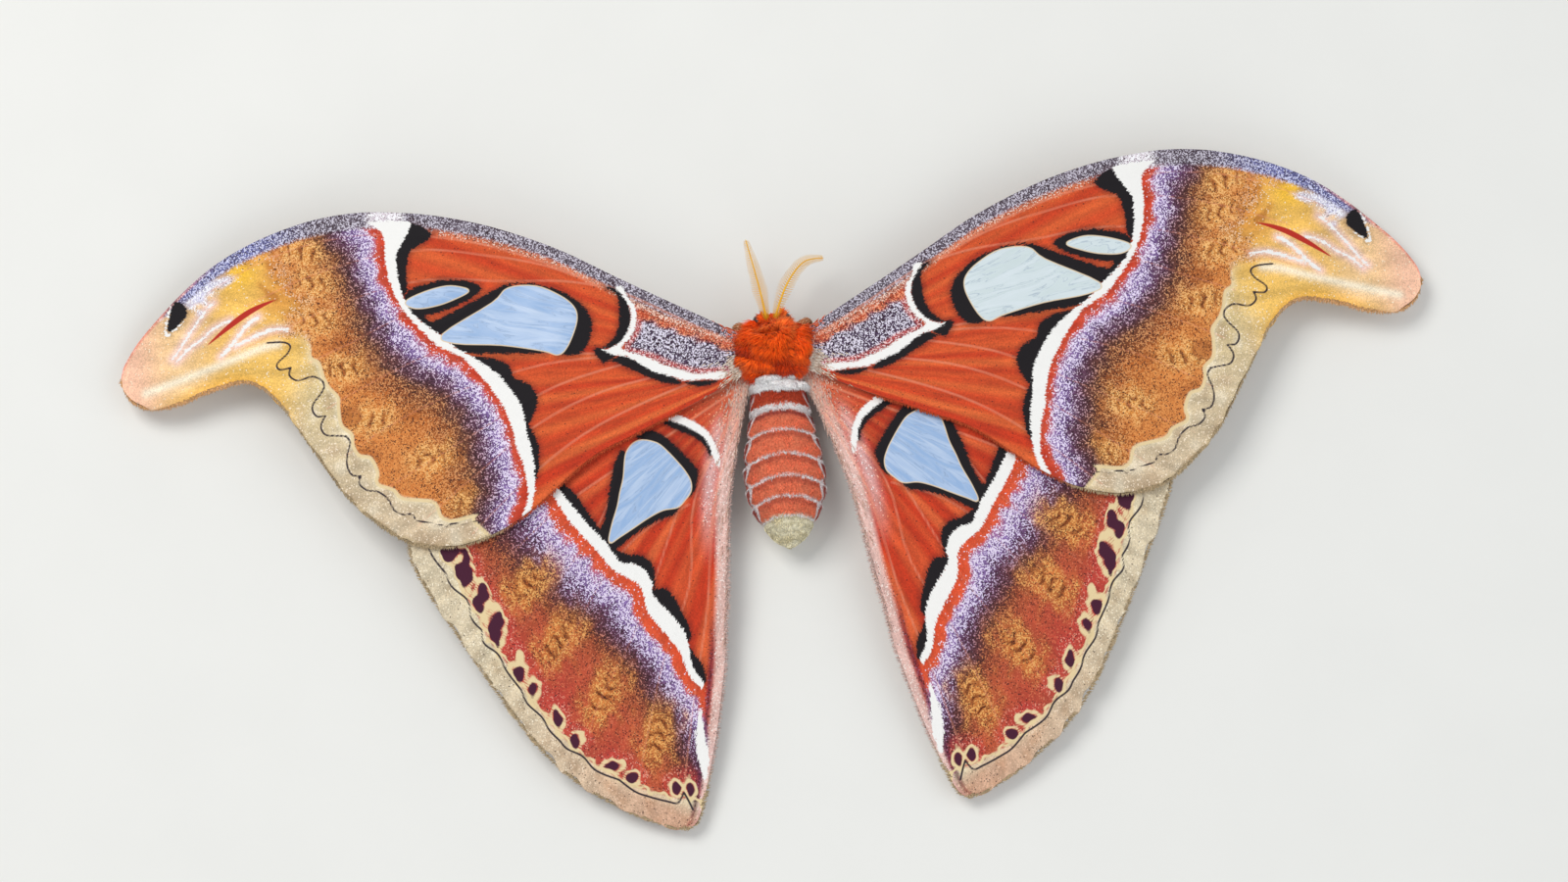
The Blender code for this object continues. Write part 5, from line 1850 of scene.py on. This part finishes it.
class AtlasMothWings(bpy.types.PropertyGroup):
    """Sizes and colours of the wings."""

    rust: colour_setting("Rust", "Colour of the middle of the wings", 196, 58, 28)
    pane_left: colour_setting("Panes", "Colour of the clear panes of the other wings", 150, 180, 220)
    # The right forewing's panes are paler than the others, as a painted reflection
    pane_right_with_reflection: colour_setting("Right front panes", "Colour of the clear panes of the right forewing",
                               206, 220, 222)
    scale_size: FloatProperty(name="Scale size", description="Size of the speckles of the scales",
                              default=0.0002, min=0.0001, max=0.002, precision=5, unit="LENGTH")
    thickness: FloatProperty(name="Thickness", description="Thickness of the wing blades",
                             default=0.00028, min=0.0001, max=0.001, precision=5, unit="LENGTH")
    columns: IntProperty(name="Columns", description="Grid columns along a forewing",
                         default=330, min=40, max=500)


class AtlasMothBody(bpy.types.PropertyGroup):
    """Sizes and colours of the body, its coat and its feelers."""

    thorax_colour: colour_setting("Thorax", "Colour of the coat of the thorax", 255, 98, 26)
    abdomen_colour: colour_setting("Abdomen", "Colour of the coat of the abdomen", 255, 132, 96)
    feeler_colour: colour_setting("Feelers", "Colour of the antennae", 252, 178, 44)
    skin_cell: FloatProperty(name="Skin cell", description="Cell size of the skin under the coat",
                             default=0.00026, min=0.0001, max=0.002, precision=5, unit="LENGTH")
    tuft_share: FloatProperty(name="Tufts", description="Number of tufts as a share of the full coat",
                              default=1.0, min=0.05, max=1.5)
    branches: IntProperty(name="Branches", description="Double pairs of branches along an antenna",
                          default=45, min=8, max=120)


class AtlasMothStage(bpy.types.PropertyGroup):
    """The floor, lights and camera."""

    floor_colour: colour_setting("Floor", "Colour of the floor", 236, 236, 232)
    floor_size: FloatProperty(name="Floor size", description="Length of the floor's sides",
                              default=4.0, min=0.5, unit="LENGTH")
    room_light: FloatProperty(name="Room light", description="Strength of the light from all round",
                              default=0.42, min=0.0)
    lamp_power: FloatProperty(name="Lamp power", description="Share of the lamps' full power",
                              default=1.0, min=0.0)
    exposure: FloatProperty(name="Exposure", description="Brightness of the picture, in stops", default=0.0)
    target_ahead: FloatProperty(name="Target ahead", default=-17.2,
                                description="Where the camera looks, in mm ahead of the thorax")
    target_right: FloatProperty(name="Target right", default=0.35,
                                description="Where the camera looks, in mm right of the midline")
    camera_height: FloatProperty(name="Camera height", description="Angle of the camera over the floor",
                                 default=math.radians(80.0), min=0.0, max=math.radians(90.0), subtype="ANGLE")
    camera_lean: FloatProperty(name="Camera lean", description="Turn of the camera about the moth",
                               default=math.radians(4.6), subtype="ANGLE")
    camera_distance: FloatProperty(name="Camera distance", description="From the camera to the moth",
                                   default=0.80, min=0.1, unit="LENGTH")
    lens: FloatProperty(name="Lens", description="Focal length in mm", default=100.0, min=10.0)


class AtlasMothSettings(bpy.types.PropertyGroup):
    """Everything that the panel shows."""

    wings: PointerProperty(type=AtlasMothWings)
    body: PointerProperty(type=AtlasMothBody)
    stage: PointerProperty(type=AtlasMothStage)


class MakeForewings(bpy.types.Operator):
    """Make both forewings with their scales and markings"""

    bl_idname = "atlas_moth.make_forewings"
    bl_label = "Make Forewings"

    def execute(self, context):
        make_wings("forewing", (settings().wings.columns, FOREWING_ROWS), forewing_fields)
        return {"FINISHED"}


class MakeHindwings(bpy.types.Operator):
    """Make both hindwings with their scales and markings"""

    bl_idname = "atlas_moth.make_hindwings"
    bl_label = "Make Hindwings"

    def execute(self, context):
        make_wings("hindwing", HINDWING_GRID, hindwing_fields)
        return {"FINISHED"}


class MakeBody(bpy.types.Operator):
    """Make the skin of the head, thorax and abdomen, and its coat of tufts"""

    bl_idname = "atlas_moth.make_body"
    bl_label = "Make Body and Coat"

    def execute(self, context):
        skin = make_skin(hair_finish("skin under the coat", 0.85))
        make_coat(skin, hair_finish("coat"))
        return {"FINISHED"}


class MakeWingHair(bpy.types.Operator):
    """Make the hair at the roots of the wings and the fringes on their margins"""

    bl_idname = "atlas_moth.make_wing_hair"
    bl_label = "Make Wing Hair"

    def execute(self, context):
        finish = hair_finish("wing hair")
        make_wing_root_hair(finish)
        make_fringes(finish)
        return {"FINISHED"}


class MakeHeadParts(bpy.types.Operator):
    """Make the compound eyes and the feathered antennae"""

    bl_idname = "atlas_moth.make_head_parts"
    bl_label = "Make Eyes and Antennae"

    def execute(self, context):
        make_eyes()
        make_antennae()
        return {"FINISHED"}


class MakeLegs(bpy.types.Operator):
    """Make the six furry legs"""

    bl_idname = "atlas_moth.make_legs"
    bl_label = "Make Legs"

    def execute(self, context):
        make_legs(hair_finish("leg fur"))
        return {"FINISHED"}


class MakeStage(bpy.types.Operator):
    """Make the pale floor, the soft lights and the camera"""

    bl_idname = "atlas_moth.make_stage"
    bl_label = "Make Stage"

    def execute(self, context):
        make_stage()
        return {"FINISHED"}


OPERATORS = (MakeForewings, MakeHindwings, MakeBody, MakeWingHair, MakeHeadParts, MakeLegs, MakeStage)


class AtlasMothPanel(bpy.types.Panel):
    """Lists the settings and the operators of the moth"""

    bl_idname = "VIEW3D_PT_atlas_moth"
    bl_label = "Atlas Moth"
    bl_space_type = "VIEW_3D"
    bl_region_type = "UI"
    bl_category = "Atlas Moth"

    def draw(self, context):
        for operator in OPERATORS:
            self.layout.operator(operator.bl_idname)
        chosen = context.scene.atlas_moth
        for group in (chosen.wings, chosen.body, chosen.stage):
            box = self.layout.box()
            for name in group.__annotations__:
                box.prop(group, name)


CLASSES = (AtlasMothWings, AtlasMothBody, AtlasMothStage, AtlasMothSettings, *OPERATORS, AtlasMothPanel)


def register():
    """Register the classes, and hang the settings on the scene."""
    for kind in CLASSES:
        bpy.utils.register_class(kind)
    bpy.types.Scene.atlas_moth = PointerProperty(type=AtlasMothSettings)


def unregister():
    """Take the settings and the classes away again."""
    del bpy.types.Scene.atlas_moth
    for kind in reversed(CLASSES):
        bpy.utils.unregister_class(kind)


def main():
    """Make every piece and the stage."""
    register()
    for operator in OPERATORS:
        group, name = operator.bl_idname.split(".")
        getattr(getattr(bpy.ops, group), name)()


if __name__ == "__main__":
    main()
